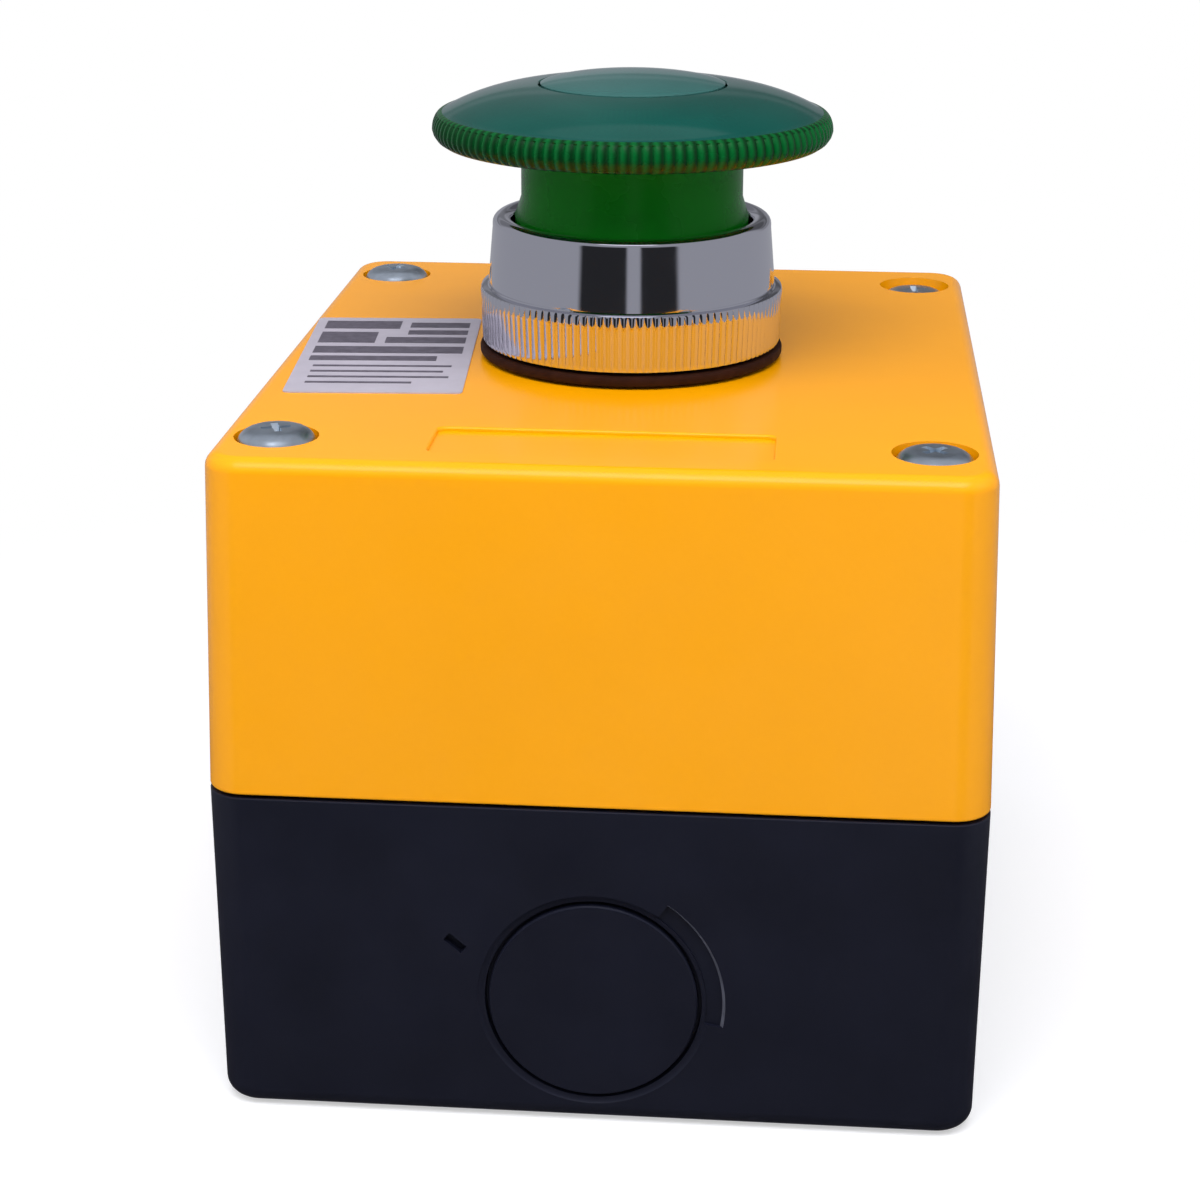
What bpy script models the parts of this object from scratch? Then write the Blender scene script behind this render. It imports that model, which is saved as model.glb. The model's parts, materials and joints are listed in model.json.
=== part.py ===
"""Push button station for machine control.

A two-part moulded box carries a sprung, lit mushroom button in a chromed bezel. Under the
cover hang a make contact block, a lamp holder and a break contact block, side by side.

Origin: centre of the base's underside. +Z is the button's axis, and -Y is the end with the
cable knock-out that faces the user. All sizes are in metres.
"""
import math

import bmesh
import bpy
from mathutils import Matrix, Vector

# Clearance between pieces that rest on or pass through each other
GAP = 0.0003

# Box
BOX_WIDTH = 0.072
BOX_DEPTH = 0.086
BOX_HEIGHT = 0.0642
SEAM_HEIGHT = 0.032
CORNER_RADIUS = 0.0036
LEAST_CORNER = 0.0007
WALL = 0.0025
COVER_TOP = 0.003
BASE_FLOOR = 0.0025
COVER_DRAFT = 0.0007
BASE_DRAFT = 0.0003
TOP_ROUND = 0.0014
BOTTOM_ROUND = 0.0018
TONGUE_THICKNESS = 0.001
TONGUE_HEIGHT = 0.0015
SEAL_HEIGHT = 0.0009
LEGEND_LENGTH = 0.031
LEGEND_WIDTH = 0.008
LEGEND_DEPTH = 0.0004
LEGEND_CORNER = 0.0008
LEGEND_INSET = 0.0092
FIXING_SLOT_LENGTH = 0.0092
FIXING_SLOT_WIDTH = 0.0048
FIXING_SLOT_INSET = 0.016

# Corner screws, their pillars and inserts
SCREW_INSET_X = 0.0062
SCREW_INSET_Y = 0.0088
SCREW_RADIUS = 0.0018
SCREW_TIP_REACH = 0.0026
SCREW_HEAD_RADIUS = 0.0036
SCREW_HEAD_HEIGHT = 0.0022
SCREW_HEAD_EDGE = 0.0008
SCREW_HEAD_FLAT = 0.0018
SCREW_POINT = 0.0007
SCREW_HEAD_STANDS = {"front_left": 0.0008, "front_right": 0.0003,
                     "back_left": 0.0008, "back_right": -0.0004}
SCREW_TURNS = {"front_left": 20.0, "front_right": 45.0, "back_left": 70.0, "back_right": 95.0}
CROSS_REACH = 0.0022
CROSS_WIDTH = 0.0009
CROSS_DEPTH = 0.0012
PILLAR_WALL = 0.001
PILLAR_RISE = 0.0012
INSERT_RADIUS = 0.003
INSERT_LENGTH = 0.0075

# Cable knock-outs in the base's two ends
KNOCKOUT_FOOT = 0.00185
KNOCKOUT_RADIUS = 0.00975
KNOCKOUT_GROOVE = 0.0011
KNOCKOUT_DEPTH = 0.0011
SCORE_WIDTH = 0.0016
SCORE_DEPTH = 0.0004
SCORE_START = -10.0
SCORE_END = 53.0
PRY_SLOT_GAP = 0.0016
PRY_SLOT_ANGLE = 157.0
PRY_SLOT_TILT = -40.0
PRY_SLOT_LENGTH = 0.0021
PRY_SLOT_WIDTH = 0.0009
PRY_SLOT_DEPTH = 0.0008

# Bezel with its barrel, and its gasket
BARREL_RADIUS = 0.011
BARREL_LENGTH = 0.0106
BARREL_WALL = 0.0016
FLANGE_STEP = 0.0008
FLANGE_TAPER = 0.0001
FLANGE_HEIGHT = 0.0057
KNURL_DEPTH = 0.0003
COLLAR_WALL = 0.00195
COLLAR_TAPER = 0.00045
COLLAR_HEIGHT = 0.0071
COLLAR_ROUND = 0.0006
POCKET_CLEARANCE = 0.00035
POCKET_FLOOR = 0.0009
GASKET_HEIGHT = 0.001

# Mushroom head
PRESS_TRAVEL = 0.0045
CAP_RADIUS = 0.020
CAP_CLEARANCE = 0.0073
CAP_EDGE_HEIGHT = 0.0031
CAP_EDGE_ROUND = 0.001
CAP_EDGE_MIDDLE = 0.0014
CAP_UNDERCUT = 0.0005
CAP_UNDER_RISE = 0.0004
CAP_LIP = 0.0011
CAP_CROWN_RISE = 0.0024
CAP_SKIN = 0.0019
RIB_DEPTH = 0.0003
STEM_WALL = 0.00175
STEM_FILLET = 0.0009
STEM_FLARE = 0.0006
STEM_REACH = 0.0026
DISC_RADIUS = 0.0092
DISC_SINK = 0.0012
DISC_EDGE = 0.0016
DISC_CROWN = 0.0013

# Sleeve, retaining ring and return spring
SLEEVE_WALL = 0.0027
SLEEVE_TAIL = 0.0017
RING_THICKNESS = 0.0007
RING_INSET = 0.0005
RING_GROOVE = 0.0008
SPRING_WIRE = 0.0009
SPRING_TURNS = 4

# Clamp under the cover
CLAMP_WIDTH = 0.0304
CLAMP_DEPTH = 0.0416
CLAMP_CORNER = 0.003
CLAMP_SCREW_INSET = 0.0032
CLAMP_SCREW_RADIUS = 0.0017
CLAMP_HEAD_RADIUS = 0.0021
CLAMP_HEAD_HEIGHT = 0.002

# Contact blocks and the lamp block between them
BLOCK_CHAMFER = 0.0025
BLOCK_WALL = 0.0014
BLOCK_ROOF = 0.004
BLOCK_FLOOR = 0.003
BLOCK_COVER = 0.001
CHAMBER_LENGTH = 0.0184
CHAMBER_CLEARANCE = 0.0009
LAMP_BLOCK_WIDTH = 0.0086
TERMINAL_CLEARANCE = 0.0005
TERMINAL_DEPTH = 0.0044
TERMINAL_PLATE_RISE = 0.0069
TERMINAL_SCREW_RADIUS = 0.0012
TERMINAL_HEAD_RADIUS = 0.0018
TERMINAL_HEAD_HEIGHT = 0.0015
SLOT_WIDTH = 0.0005
SLOT_DEPTH = 0.0006
STRIP_THICKNESS = 0.0008
STRIP_WIDTH = 0.0022
STRIP_CLEARANCE = 0.0014
TIP_RADIUS = 0.0009
TIP_HEIGHT = 0.0005
PLUNGER_WIDTH = 0.0024
PLUNGER_DEPTH = 0.0044
PLUNGER_HEAD_DEPTH = 0.008
PLUNGER_HEAD_HEIGHT = 0.0035
PLUNGER_NECK_TAIL = 0.0015
PLUNGER_NECK_SIDE = 0.0008
BRIDGE_HEADROOM = 0.0024
BRIDGE_CLEARANCE = 0.0008
CONTACT_SPRING_RADIUS = 0.0022
CONTACT_SPRING_WIRE = 0.0006
CONTACT_SPRING_TURNS = 4

# Lamp
LAMP_RADIUS = 0.0045
LAMP_BASE_HEIGHT = 0.0135
LAMP_TIP_RADIUS = 0.0015
LAMP_TIP_HEIGHT = 0.001
LAMP_GLASS_HEIGHT = 0.0125
SOCKET_WALL = 0.0007
SOCKET_HEIGHT = 0.013
SOCKET_FLOOR = 0.0011

# Points closer than this are one point
MERGE_DISTANCE = 0.000002

# Fineness of the curves
ROUND = 32
KNURL_TEETH = 30
RIBS = 30
LAMP_ROUND = 16
MEDIUM_ROUND = 14
SMALL_ROUND = 10
SCORE_STEPS = 8
WIRE_STEPS = 12
CORNER_STEPS = 4
EDGE_STEPS = 3

# Edges sharper than this, in degrees, are shaded sharp
SHARP_ANGLE = 34.0

# Share of a turn that lies flat at each end of a coil spring
FLAT_TURN = 0.5

# Radii and lengths worked out from the sizes above
PILLAR_RADIUS = INSERT_RADIUS + PILLAR_WALL
KNOCKOUT_EDGE = KNOCKOUT_RADIUS + KNOCKOUT_GROOVE
SCORE_RADIUS = KNOCKOUT_EDGE + SCORE_WIDTH
PRY_SLOT_RADIUS = SCORE_RADIUS + PRY_SLOT_GAP
BORE_RADIUS = BARREL_RADIUS - BARREL_WALL
SLEEVE_RADIUS = BORE_RADIUS - GAP
SLEEVE_BORE = SLEEVE_RADIUS - SLEEVE_WALL
RING_RADIUS = BARREL_RADIUS - RING_INSET
STEM_BORE = SLEEVE_RADIUS + GAP
STEM_RADIUS = STEM_BORE + STEM_WALL
STEM_FOOT_RADIUS = STEM_RADIUS + STEM_FLARE
POCKET_RADIUS = STEM_FOOT_RADIUS + POCKET_CLEARANCE
COLLAR_TOP_RADIUS = POCKET_RADIUS + COLLAR_WALL
COLLAR_FOOT_RADIUS = COLLAR_TOP_RADIUS + COLLAR_TAPER
FLANGE_TOP_RADIUS = COLLAR_FOOT_RADIUS + FLANGE_STEP
FLANGE_FOOT_RADIUS = FLANGE_TOP_RADIUS + FLANGE_TAPER
GASKET_RADIUS = FLANGE_FOOT_RADIUS
SHOULDER_RADIUS = CAP_RADIUS - CAP_EDGE_ROUND
CLAMP_SCREW_OFFSET = CLAMP_DEPTH / 2 - CLAMP_SCREW_INSET
BLOCK_DEPTH = CHAMBER_LENGTH + 2 * (BLOCK_WALL + TERMINAL_DEPTH)
CHAMBER_WIDTH = 2 * (CONTACT_SPRING_RADIUS + CONTACT_SPRING_WIRE / 2 + CHAMBER_CLEARANCE)
BLOCK_WIDTH = BLOCK_WALL + CHAMBER_WIDTH + GAP + BLOCK_COVER
TERMINAL_POCKET_WIDTH = 2 * (TERMINAL_HEAD_RADIUS + TERMINAL_CLEARANCE)
STRIP_INNER_END = PLUNGER_HEAD_DEPTH / 2 + STRIP_CLEARANCE
BRIDGE_HALF_LENGTH = CHAMBER_LENGTH / 2 - BRIDGE_CLEARANCE

# Heights worked out from the sizes above
KNOCKOUT_HEIGHT = KNOCKOUT_EDGE + KNOCKOUT_FOOT
COVER_RIM = SEAM_HEIGHT + GAP
TONGUE_TOP = SEAM_HEIGHT + TONGUE_HEIGHT
SEAL_BOTTOM = TONGUE_TOP + GAP
REBATE_TOP = SEAL_BOTTOM + SEAL_HEIGHT + GAP
PILLAR_TOP = SEAM_HEIGHT + PILLAR_RISE
INSERT_TOP = PILLAR_TOP - GAP
INSERT_BOTTOM = INSERT_TOP - INSERT_LENGTH
SCREW_TIP = INSERT_BOTTOM - SCREW_TIP_REACH
LOWEST_SCREW_SEAT = BOX_HEIGHT + min(SCREW_HEAD_STANDS.values()) - SCREW_HEAD_HEIGHT
SCREW_LENGTH = LOWEST_SCREW_SEAT - SCREW_TIP
COVER_UNDERSIDE = BOX_HEIGHT - COVER_TOP
GASKET_BOTTOM = BOX_HEIGHT + GAP
FLANGE_BOTTOM = GASKET_BOTTOM + GASKET_HEIGHT + GAP
FLANGE_TOP = FLANGE_BOTTOM + FLANGE_HEIGHT
COLLAR_TOP = FLANGE_TOP + COLLAR_HEIGHT
POCKET_BOTTOM = FLANGE_BOTTOM + POCKET_FLOOR
BARREL_BOTTOM = FLANGE_BOTTOM - BARREL_LENGTH
CAP_BOTTOM = COLLAR_TOP + CAP_CLEARANCE
CAP_EDGE_TOP = CAP_BOTTOM + CAP_EDGE_HEIGHT
CAP_CROWN = CAP_EDGE_TOP + CAP_CROWN_RISE
STEM_BOTTOM = COLLAR_TOP - STEM_REACH
RING_TOP = BARREL_BOTTOM - GAP
SLEEVE_BOTTOM = RING_TOP - SLEEVE_TAIL
BLOCK_TOP = SLEEVE_BOTTOM - PRESS_TRAVEL - 2 * GAP
CLAMP_BOTTOM = BLOCK_TOP + GAP
CLAMP_TOP = COVER_UNDERSIDE - GAP
CHAMBER_TOP = BLOCK_TOP - BLOCK_ROOF
HEAD_TOP = CHAMBER_TOP - GAP
HEAD_BOTTOM = HEAD_TOP - PLUNGER_HEAD_HEIGHT
BRIDGE_TOP = HEAD_BOTTOM - BRIDGE_HEADROOM
BRIDGE_BOTTOM = BRIDGE_TOP - STRIP_THICKNESS
NECK_BOTTOM = BRIDGE_BOTTOM - GAP - PLUNGER_NECK_TAIL
PLATE_BOTTOM = BRIDGE_BOTTOM - PRESS_TRAVEL - GAP - TIP_HEIGHT - STRIP_THICKNESS
BLOCK_BOTTOM = PLATE_BOTTOM - TERMINAL_PLATE_RISE
CHAMBER_BOTTOM = BLOCK_BOTTOM + BLOCK_FLOOR
SOCKET_BOTTOM = BLOCK_TOP + SOCKET_FLOOR
LAMP_BOTTOM = SOCKET_BOTTOM + GAP
LAMP_SHOULDER = LAMP_BOTTOM + LAMP_BASE_HEIGHT

# Sides of the corners and ends, as (X, Y) signs and Y signs
CORNERS = {"front_left": (-1, -1), "front_right": (1, -1), "back_left": (-1, 1),
           "back_right": (1, 1)}
ENDS = {"front": -1, "back": 1}


def clear_scene():
    for obj in list(bpy.data.objects):
        bpy.data.objects.remove(obj, do_unlink=True)


def material(name, colour, roughness, metallic=0.0, transmission=0.0):
    """A Principled material with the piece's plain finish."""
    made = bpy.data.materials.new(name)
    made.use_nodes = True
    shader = made.node_tree.nodes["Principled BSDF"]
    shader.inputs["Base Color"].default_value = (*colour, 1.0)
    shader.inputs["Roughness"].default_value = roughness
    shader.inputs["Metallic"].default_value = metallic
    shader.inputs["Transmission Weight"].default_value = transmission
    return made


def to_object(bm, name):
    """Turn a bmesh into an object whose faces all point outwards."""
    bmesh.ops.recalc_face_normals(bm, faces=bm.faces)
    mesh = bpy.data.meshes.new(name)
    bm.to_mesh(mesh)
    bm.free()
    obj = bpy.data.objects.new(name, mesh)
    bpy.context.scene.collection.objects.link(obj)
    return obj


def revolve(name, profile, segments=ROUND, sweep=360.0, teeth=None):
    """Turn (radius, height) points round the Z axis. A profile that starts on the axis ends
    on it too; any other is a closed section. teeth = (lowest, highest, least radius, depth)
    sinks every second column of points in that band."""
    bm = bmesh.new()
    verts = [bm.verts.new((radius, 0.0, height)) for radius, height in profile]
    edges = [bm.edges.new(pair) for pair in zip(verts, verts[1:])]
    if profile[0][0] > 0.0:
        edges.append(bm.edges.new((verts[-1], verts[0])))
    whole = sweep >= 360.0
    ring = bmesh.ops.spin(bm, geom=verts + edges, cent=(0, 0, 0), axis=(0, 0, 1),
                          angle=math.radians(sweep), steps=segments, use_merge=whole)
    if not whole:
        last = [item for item in ring["geom_last"] if isinstance(item, bmesh.types.BMEdge)]
        bmesh.ops.edgeloop_fill(bm, edges=edges)
        bmesh.ops.edgeloop_fill(bm, edges=last)
    bmesh.ops.remove_doubles(bm, verts=bm.verts, dist=MERGE_DISTANCE)
    if teeth:
        lowest, highest, least, depth = teeth
        for vert in bm.verts:
            radius = vert.co.xy.length
            column = round(math.atan2(vert.co.y, vert.co.x) / math.tau * segments)
            if column % 2 and radius > least and lowest <= vert.co.z <= highest:
                vert.co.xy *= (radius - depth) / radius
    return to_object(bm, name)


def stepped(name, steps, segments, at=(0.0, 0.0)):
    """A solid round bar along Z whose steps are (radius, bottom, top), from the lowest up."""
    profile = [(0, steps[0][1])]
    for radius, bottom, top in steps:
        profile += [(radius, bottom), (radius, top)]
    profile.append((0, steps[-1][2]))
    obj = revolve(name, profile, segments)
    obj.data.transform(Matrix.Translation((*at, 0)))
    return obj


def cylinder(name, radius, bottom, top, segments=ROUND, at=(0.0, 0.0)):
    return stepped(name, [(radius, bottom, top)], segments, at)


def skin(name, rings, closed=False):
    """Join rings of points. Open stacks get a flat face at each end."""
    bm = bmesh.new()
    rows = [[bm.verts.new(point) for point in ring] for ring in rings]
    pairs = list(zip(rows, rows[1:]))
    if closed:
        pairs.append((rows[-1], rows[0]))
    else:
        bm.faces.new(rows[0])
        bm.faces.new(rows[-1])
    for low, high in pairs:
        for i in range(len(low)):
            j = (i + 1) % len(low)
            bm.faces.new((low[i], low[j], high[j], high[i]))
    return to_object(bm, name)


def prism_x(name, outline, left, right):
    """Extrude (y, z) points along X."""
    bm = bmesh.new()
    face = bm.faces.new([bm.verts.new((left, y, z)) for y, z in outline])
    grown = bmesh.ops.extrude_face_region(bm, geom=[face])["geom"]
    verts = [item for item in grown if isinstance(item, bmesh.types.BMVert)]
    bmesh.ops.translate(bm, verts=verts, vec=(right - left, 0, 0))
    return to_object(bm, name)


def block(name, low, high, bevel=0.0):
    """A rectangular block between two corners, with bevelled edges if asked."""
    bm = bmesh.new()
    bmesh.ops.create_cube(bm, size=1.0)
    low, high = Vector(low), Vector(high)
    for vert in bm.verts:
        vert.co = Vector(low[k] if vert.co[k] < 0 else high[k] for k in range(3))
    if bevel:
        bmesh.ops.bevel(bm, geom=bm.edges[:], offset=bevel, segments=1, affect='EDGES')
    return to_object(bm, name)


def boolean(obj, tools, operation):
    """Apply exact Booleans to obj with each tool, and remove the tools."""
    for tool in tools:
        step = obj.modifiers.new(tool.name, 'BOOLEAN')
        step.operation = operation
        step.solver = 'EXACT'
        step.object = tool
    evaluated = obj.evaluated_get(bpy.context.evaluated_depsgraph_get())
    mesh = bpy.data.meshes.new_from_object(evaluated)
    obj.modifiers.clear()
    obj.data = mesh
    bm = bmesh.new()
    bm.from_mesh(mesh)
    bmesh.ops.remove_doubles(bm, verts=bm.verts, dist=MERGE_DISTANCE)
    bmesh.ops.dissolve_degenerate(bm, edges=bm.edges, dist=MERGE_DISTANCE)
    bm.to_mesh(mesh)
    bm.free()
    for tool in tools:
        bpy.data.objects.remove(tool, do_unlink=True)
    return obj


def cut(obj, *tools):
    return boolean(obj, tools, 'DIFFERENCE')


def weld(obj, *tools):
    return boolean(obj, tools, 'UNION')


def finish(obj, name, finish_material, carrier=None):
    """Name the piece, give it its material and hang it on the empty that moves it."""
    obj.name = name
    obj.data.name = name
    obj.data.materials.clear()
    obj.data.materials.append(finish_material)
    obj.data.shade_smooth()
    obj.data.set_sharp_from_angle(angle=math.radians(SHARP_ANGLE))
    if carrier:
        obj.data.transform(Matrix.Translation(-carrier.location))
        obj.parent = carrier
    return obj


def carrier(name, location):
    """An empty on a joint's axis that carries the pieces which slide along it."""
    empty = bpy.data.objects.new(name, None)
    empty.location = location
    bpy.context.scene.collection.objects.link(empty)
    return empty


def rounded_rectangle(width, depth, radius, z):
    ring = []
    for quarter, (side_x, side_y) in enumerate(((1, 1), (-1, 1), (-1, -1), (1, -1))):
        centre = Vector((side_x * (width / 2 - radius), side_y * (depth / 2 - radius), z))
        for step in range(CORNER_STEPS + 1):
            angle = math.pi / 2 * (quarter + step / CORNER_STEPS)
            ring.append(centre + radius * Vector((math.cos(angle), math.sin(angle), 0)))
    return ring


def box_ring(inset, z):
    """The box's outline at a height, moved in by an inset."""
    radius = max(CORNER_RADIUS - inset, LEAST_CORNER)
    return rounded_rectangle(BOX_WIDTH - 2 * inset, BOX_DEPTH - 2 * inset, radius, z)


def base_lean(z):
    return BASE_DRAFT * (SEAM_HEIGHT - z) / SEAM_HEIGHT


def cover_lean(z):
    return COVER_DRAFT * (z - COVER_RIM) / (BOX_HEIGHT - COVER_RIM)


def edge_round(radius, upper):
    """(inset, height) steps of a rounded edge, going up, from the wall to a top face or
    from a bottom face to the wall."""
    steps = []
    for i in range(EDGE_STEPS + 1):
        angle = math.pi / 2 * i / EDGE_STEPS
        if upper:
            steps.append((radius * (1 - math.cos(angle)), radius * (math.sin(angle) - 1)))
        else:
            steps.append((radius * (1 - math.sin(angle)), radius * (1 - math.cos(angle))))
    return steps


def screw_place(corner):
    side_x, side_y = CORNERS[corner]
    return (side_x * (BOX_WIDTH / 2 - SCREW_INSET_X), side_y * (BOX_DEPTH / 2 - SCREW_INSET_Y))


def corner_post(corner, steps, bottom, top):
    """A stepped screw pillar with the web that joins it to the box's corner."""
    side_x, side_y = CORNERS[corner]
    x, y = screw_place(corner)
    post = stepped("post", steps, MEDIUM_ROUND, (x, y))
    reach = WALL - TONGUE_THICKNESS / 2
    far_x = side_x * (BOX_WIDTH / 2 - reach)
    far_y = side_y * (BOX_DEPTH / 2 - reach)
    inner_x = x - side_x * PILLAR_RADIUS / 2
    inner_y = y - side_y * PILLAR_RADIUS / 2
    trim = GAP / 3
    web = block("web", (min(inner_x, far_x), min(inner_y, far_y), bottom + trim),
                (max(inner_x, far_x), max(inner_y, far_y), top - trim))
    return weld(post, web)


def knockout_tools(side):
    """Cutters for one scored cable entry, in the end wall on the given side of Y."""
    outer = BOX_DEPTH / 2 + GAP
    inner = BOX_DEPTH / 2 - base_lean(KNOCKOUT_HEIGHT)
    def ring_section(low_radius, high_radius, depth):
        return [(low_radius, inner - depth), (high_radius, inner - depth),
                (high_radius, outer), (low_radius, outer)]

    groove = revolve("groove", ring_section(KNOCKOUT_RADIUS, KNOCKOUT_EDGE, KNOCKOUT_DEPTH))
    score = revolve("score", ring_section(KNOCKOUT_EDGE - GAP, SCORE_RADIUS, SCORE_DEPTH),
                    SCORE_STEPS, SCORE_END - SCORE_START)
    score.data.transform(Matrix.Rotation(math.radians(SCORE_START), 4, 'Z'))
    half = (PRY_SLOT_LENGTH / 2, PRY_SLOT_WIDTH / 2)
    pry = block("pry", (-half[0], -half[1], inner - PRY_SLOT_DEPTH), (half[0], half[1], outer))
    pry.data.transform(Matrix.Rotation(math.radians(PRY_SLOT_TILT), 4, 'Z'))
    angle = math.radians(PRY_SLOT_ANGLE)
    across, up = PRY_SLOT_RADIUS * math.cos(angle), PRY_SLOT_RADIUS * math.sin(angle)
    pry.data.transform(Matrix.Translation((across, up, 0)))

    # The cutters were made round Z: X stays across, Y becomes up and Z points out of the wall
    front = Matrix(((1, 0, 0, 0), (0, 0, -1, 0), (0, 1, 0, KNOCKOUT_HEIGHT), (0, 0, 0, 1)))
    turn = Matrix.Rotation(math.pi, 4, 'Z') if side > 0 else Matrix.Identity(4)
    for tool in (groove, score, pry):
        tool.data.transform(turn @ front)
    return groove, score, pry


def fixing_slot(side):
    """Cutter for the floor's slot at one end, which a 4 mm fixing screw passes."""
    away = Vector((0, side * (BOX_DEPTH / 2 - FIXING_SLOT_INSET), 0))
    end_radius = FIXING_SLOT_WIDTH / 2 - GAP
    rings = [rounded_rectangle(FIXING_SLOT_LENGTH, FIXING_SLOT_WIDTH, end_radius, z)
             for z in (-GAP, BASE_FLOOR + GAP)]
    return skin("fixing_slot", [[point + away for point in ring] for ring in rings])


def make_base_housing(plastic):
    profile = []
    for inset, rise in edge_round(BOTTOM_ROUND, upper=False):
        profile.append((inset + base_lean(rise), rise))
    profile += [(0.0, SEAM_HEIGHT), (WALL - TONGUE_THICKNESS, SEAM_HEIGHT),
                (WALL - TONGUE_THICKNESS, TONGUE_TOP), (WALL, TONGUE_TOP),
                (WALL + base_lean(BASE_FLOOR), BASE_FLOOR)]
    base = skin("base_housing", [box_ring(inset, z) for inset, z in profile])
    foot = BASE_FLOOR - GAP
    posts = [corner_post(corner, [(PILLAR_RADIUS, foot, PILLAR_TOP)], foot, PILLAR_TOP)
             for corner in CORNERS]
    weld(base, *posts)
    tools = [fixing_slot(side) for side in ENDS.values()]
    insert_seat = INSERT_BOTTOM - GAP
    bores = [(SCREW_RADIUS + GAP, SCREW_TIP - GAP, insert_seat),
             (INSERT_RADIUS + GAP, insert_seat, PILLAR_TOP + GAP)]
    tools += [stepped("insert_hole", bores, MEDIUM_ROUND, screw_place(corner))
              for corner in CORNERS]
    for side in ENDS.values():
        tools += knockout_tools(side)
    return finish(cut(base, *tools), "base_housing", plastic)


def make_cover_housing(plastic):
    profile = [(WALL + cover_lean(COVER_UNDERSIDE), COVER_UNDERSIDE),
               (WALL + cover_lean(REBATE_TOP), REBATE_TOP),
               (WALL - TONGUE_THICKNESS - GAP, REBATE_TOP),
               (WALL - TONGUE_THICKNESS - GAP, COVER_RIM),
               (0.0, COVER_RIM)]
    for inset, rise in edge_round(TOP_ROUND, upper=True):
        z = BOX_HEIGHT + rise
        profile.append((inset + cover_lean(z), z))
    cover = skin("cover_housing", [box_ring(inset, z) for inset, z in profile])
    tube_radius = SCREW_INSET_X - WALL - GAP
    web_foot = REBATE_TOP + GAP
    web_top = COVER_UNDERSIDE + GAP
    steps = [(tube_radius, PILLAR_TOP + GAP, web_foot), (PILLAR_RADIUS, web_foot, web_top)]
    weld(cover, *[corner_post(corner, steps, web_foot, web_top) for corner in CORNERS])
    tools = [cylinder("panel_hole", BARREL_RADIUS + GAP, COVER_UNDERSIDE - GAP,
                      BOX_HEIGHT + GAP)]
    for corner in CORNERS:
        seat = BOX_HEIGHT + SCREW_HEAD_STANDS[corner] - SCREW_HEAD_HEIGHT - GAP
        bores = [(SCREW_RADIUS + GAP, PILLAR_TOP, seat),
                 (SCREW_HEAD_RADIUS + GAP, seat, BOX_HEIGHT + GAP)]
        tools.append(stepped("screw_hole", bores, MEDIUM_ROUND, screw_place(corner)))
    legend = rounded_rectangle(LEGEND_LENGTH, LEGEND_WIDTH, LEGEND_CORNER, 0)
    legend_y = LEGEND_INSET - BOX_DEPTH / 2
    floor = [point + Vector((0, legend_y, BOX_HEIGHT - LEGEND_DEPTH)) for point in legend]
    above = [point + Vector((0, legend_y, BOX_HEIGHT + GAP)) for point in legend]
    tools.append(skin("legend", [floor, above]))
    return finish(cut(cover, *tools), "cover_housing", plastic)


def make_cover_gasket(rubber):
    outer, inner = WALL - TONGUE_THICKNESS, WALL
    low, high = SEAL_BOTTOM, SEAL_BOTTOM + SEAL_HEIGHT
    section = ((outer, low), (outer, high), (inner, high), (inner, low))
    gasket = skin("cover_gasket", [box_ring(inset, z) for inset, z in section], closed=True)
    return finish(gasket, "cover_gasket", rubber)


def pan_screw():
    """A cross-recessed screw with the underside of its head on Z = 0."""
    profile = [(0, -SCREW_LENGTH), (SCREW_RADIUS - SCREW_POINT, -SCREW_LENGTH),
               (SCREW_RADIUS, SCREW_POINT - SCREW_LENGTH), (SCREW_RADIUS, 0),
               (SCREW_HEAD_RADIUS, 0)]
    dome_width = SCREW_HEAD_RADIUS - SCREW_HEAD_FLAT
    dome_height = SCREW_HEAD_HEIGHT - SCREW_HEAD_EDGE
    for i in range(EDGE_STEPS + 1):
        angle = math.pi / 2 * i / EDGE_STEPS
        profile.append((SCREW_HEAD_FLAT + dome_width * math.cos(angle),
                        SCREW_HEAD_EDGE + dome_height * math.sin(angle)))
    profile.append((0, SCREW_HEAD_HEIGHT))
    screw = revolve("screw", profile, MEDIUM_ROUND)
    half = CROSS_WIDTH / 2
    low, high = SCREW_HEAD_HEIGHT - CROSS_DEPTH, SCREW_HEAD_HEIGHT + GAP
    arm = block("arm", (-CROSS_REACH, -half, low), (CROSS_REACH, half, high))
    cross = block("cross", (-half, -CROSS_REACH, low), (half, CROSS_REACH, high))
    return cut(screw, weld(arm, cross))


def make_cover_screws(steel):
    pattern = pan_screw()
    for corner in CORNERS:
        screw = pattern.copy()
        screw.data = pattern.data.copy()
        bpy.context.scene.collection.objects.link(screw)
        head_bottom = BOX_HEIGHT + SCREW_HEAD_STANDS[corner] - SCREW_HEAD_HEIGHT
        turn = Matrix.Rotation(math.radians(SCREW_TURNS[corner]), 4, 'Z')
        place = Matrix.Translation((*screw_place(corner), head_bottom))
        screw.data.transform(place @ turn)
        finish(screw, "cover_screw_" + corner, steel)
    bpy.data.objects.remove(pattern, do_unlink=True)


def make_screw_inserts(brass):
    top, bottom = INSERT_TOP, INSERT_BOTTOM
    bore = SCREW_RADIUS + GAP
    for corner in CORNERS:
        insert = revolve("insert", [(bore, bottom), (INSERT_RADIUS, bottom),
                                    (INSERT_RADIUS, top), (bore, top)], MEDIUM_ROUND)
        insert.data.transform(Matrix.Translation((*screw_place(corner), 0)))
        finish(insert, "screw_insert_" + corner, brass)


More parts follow.
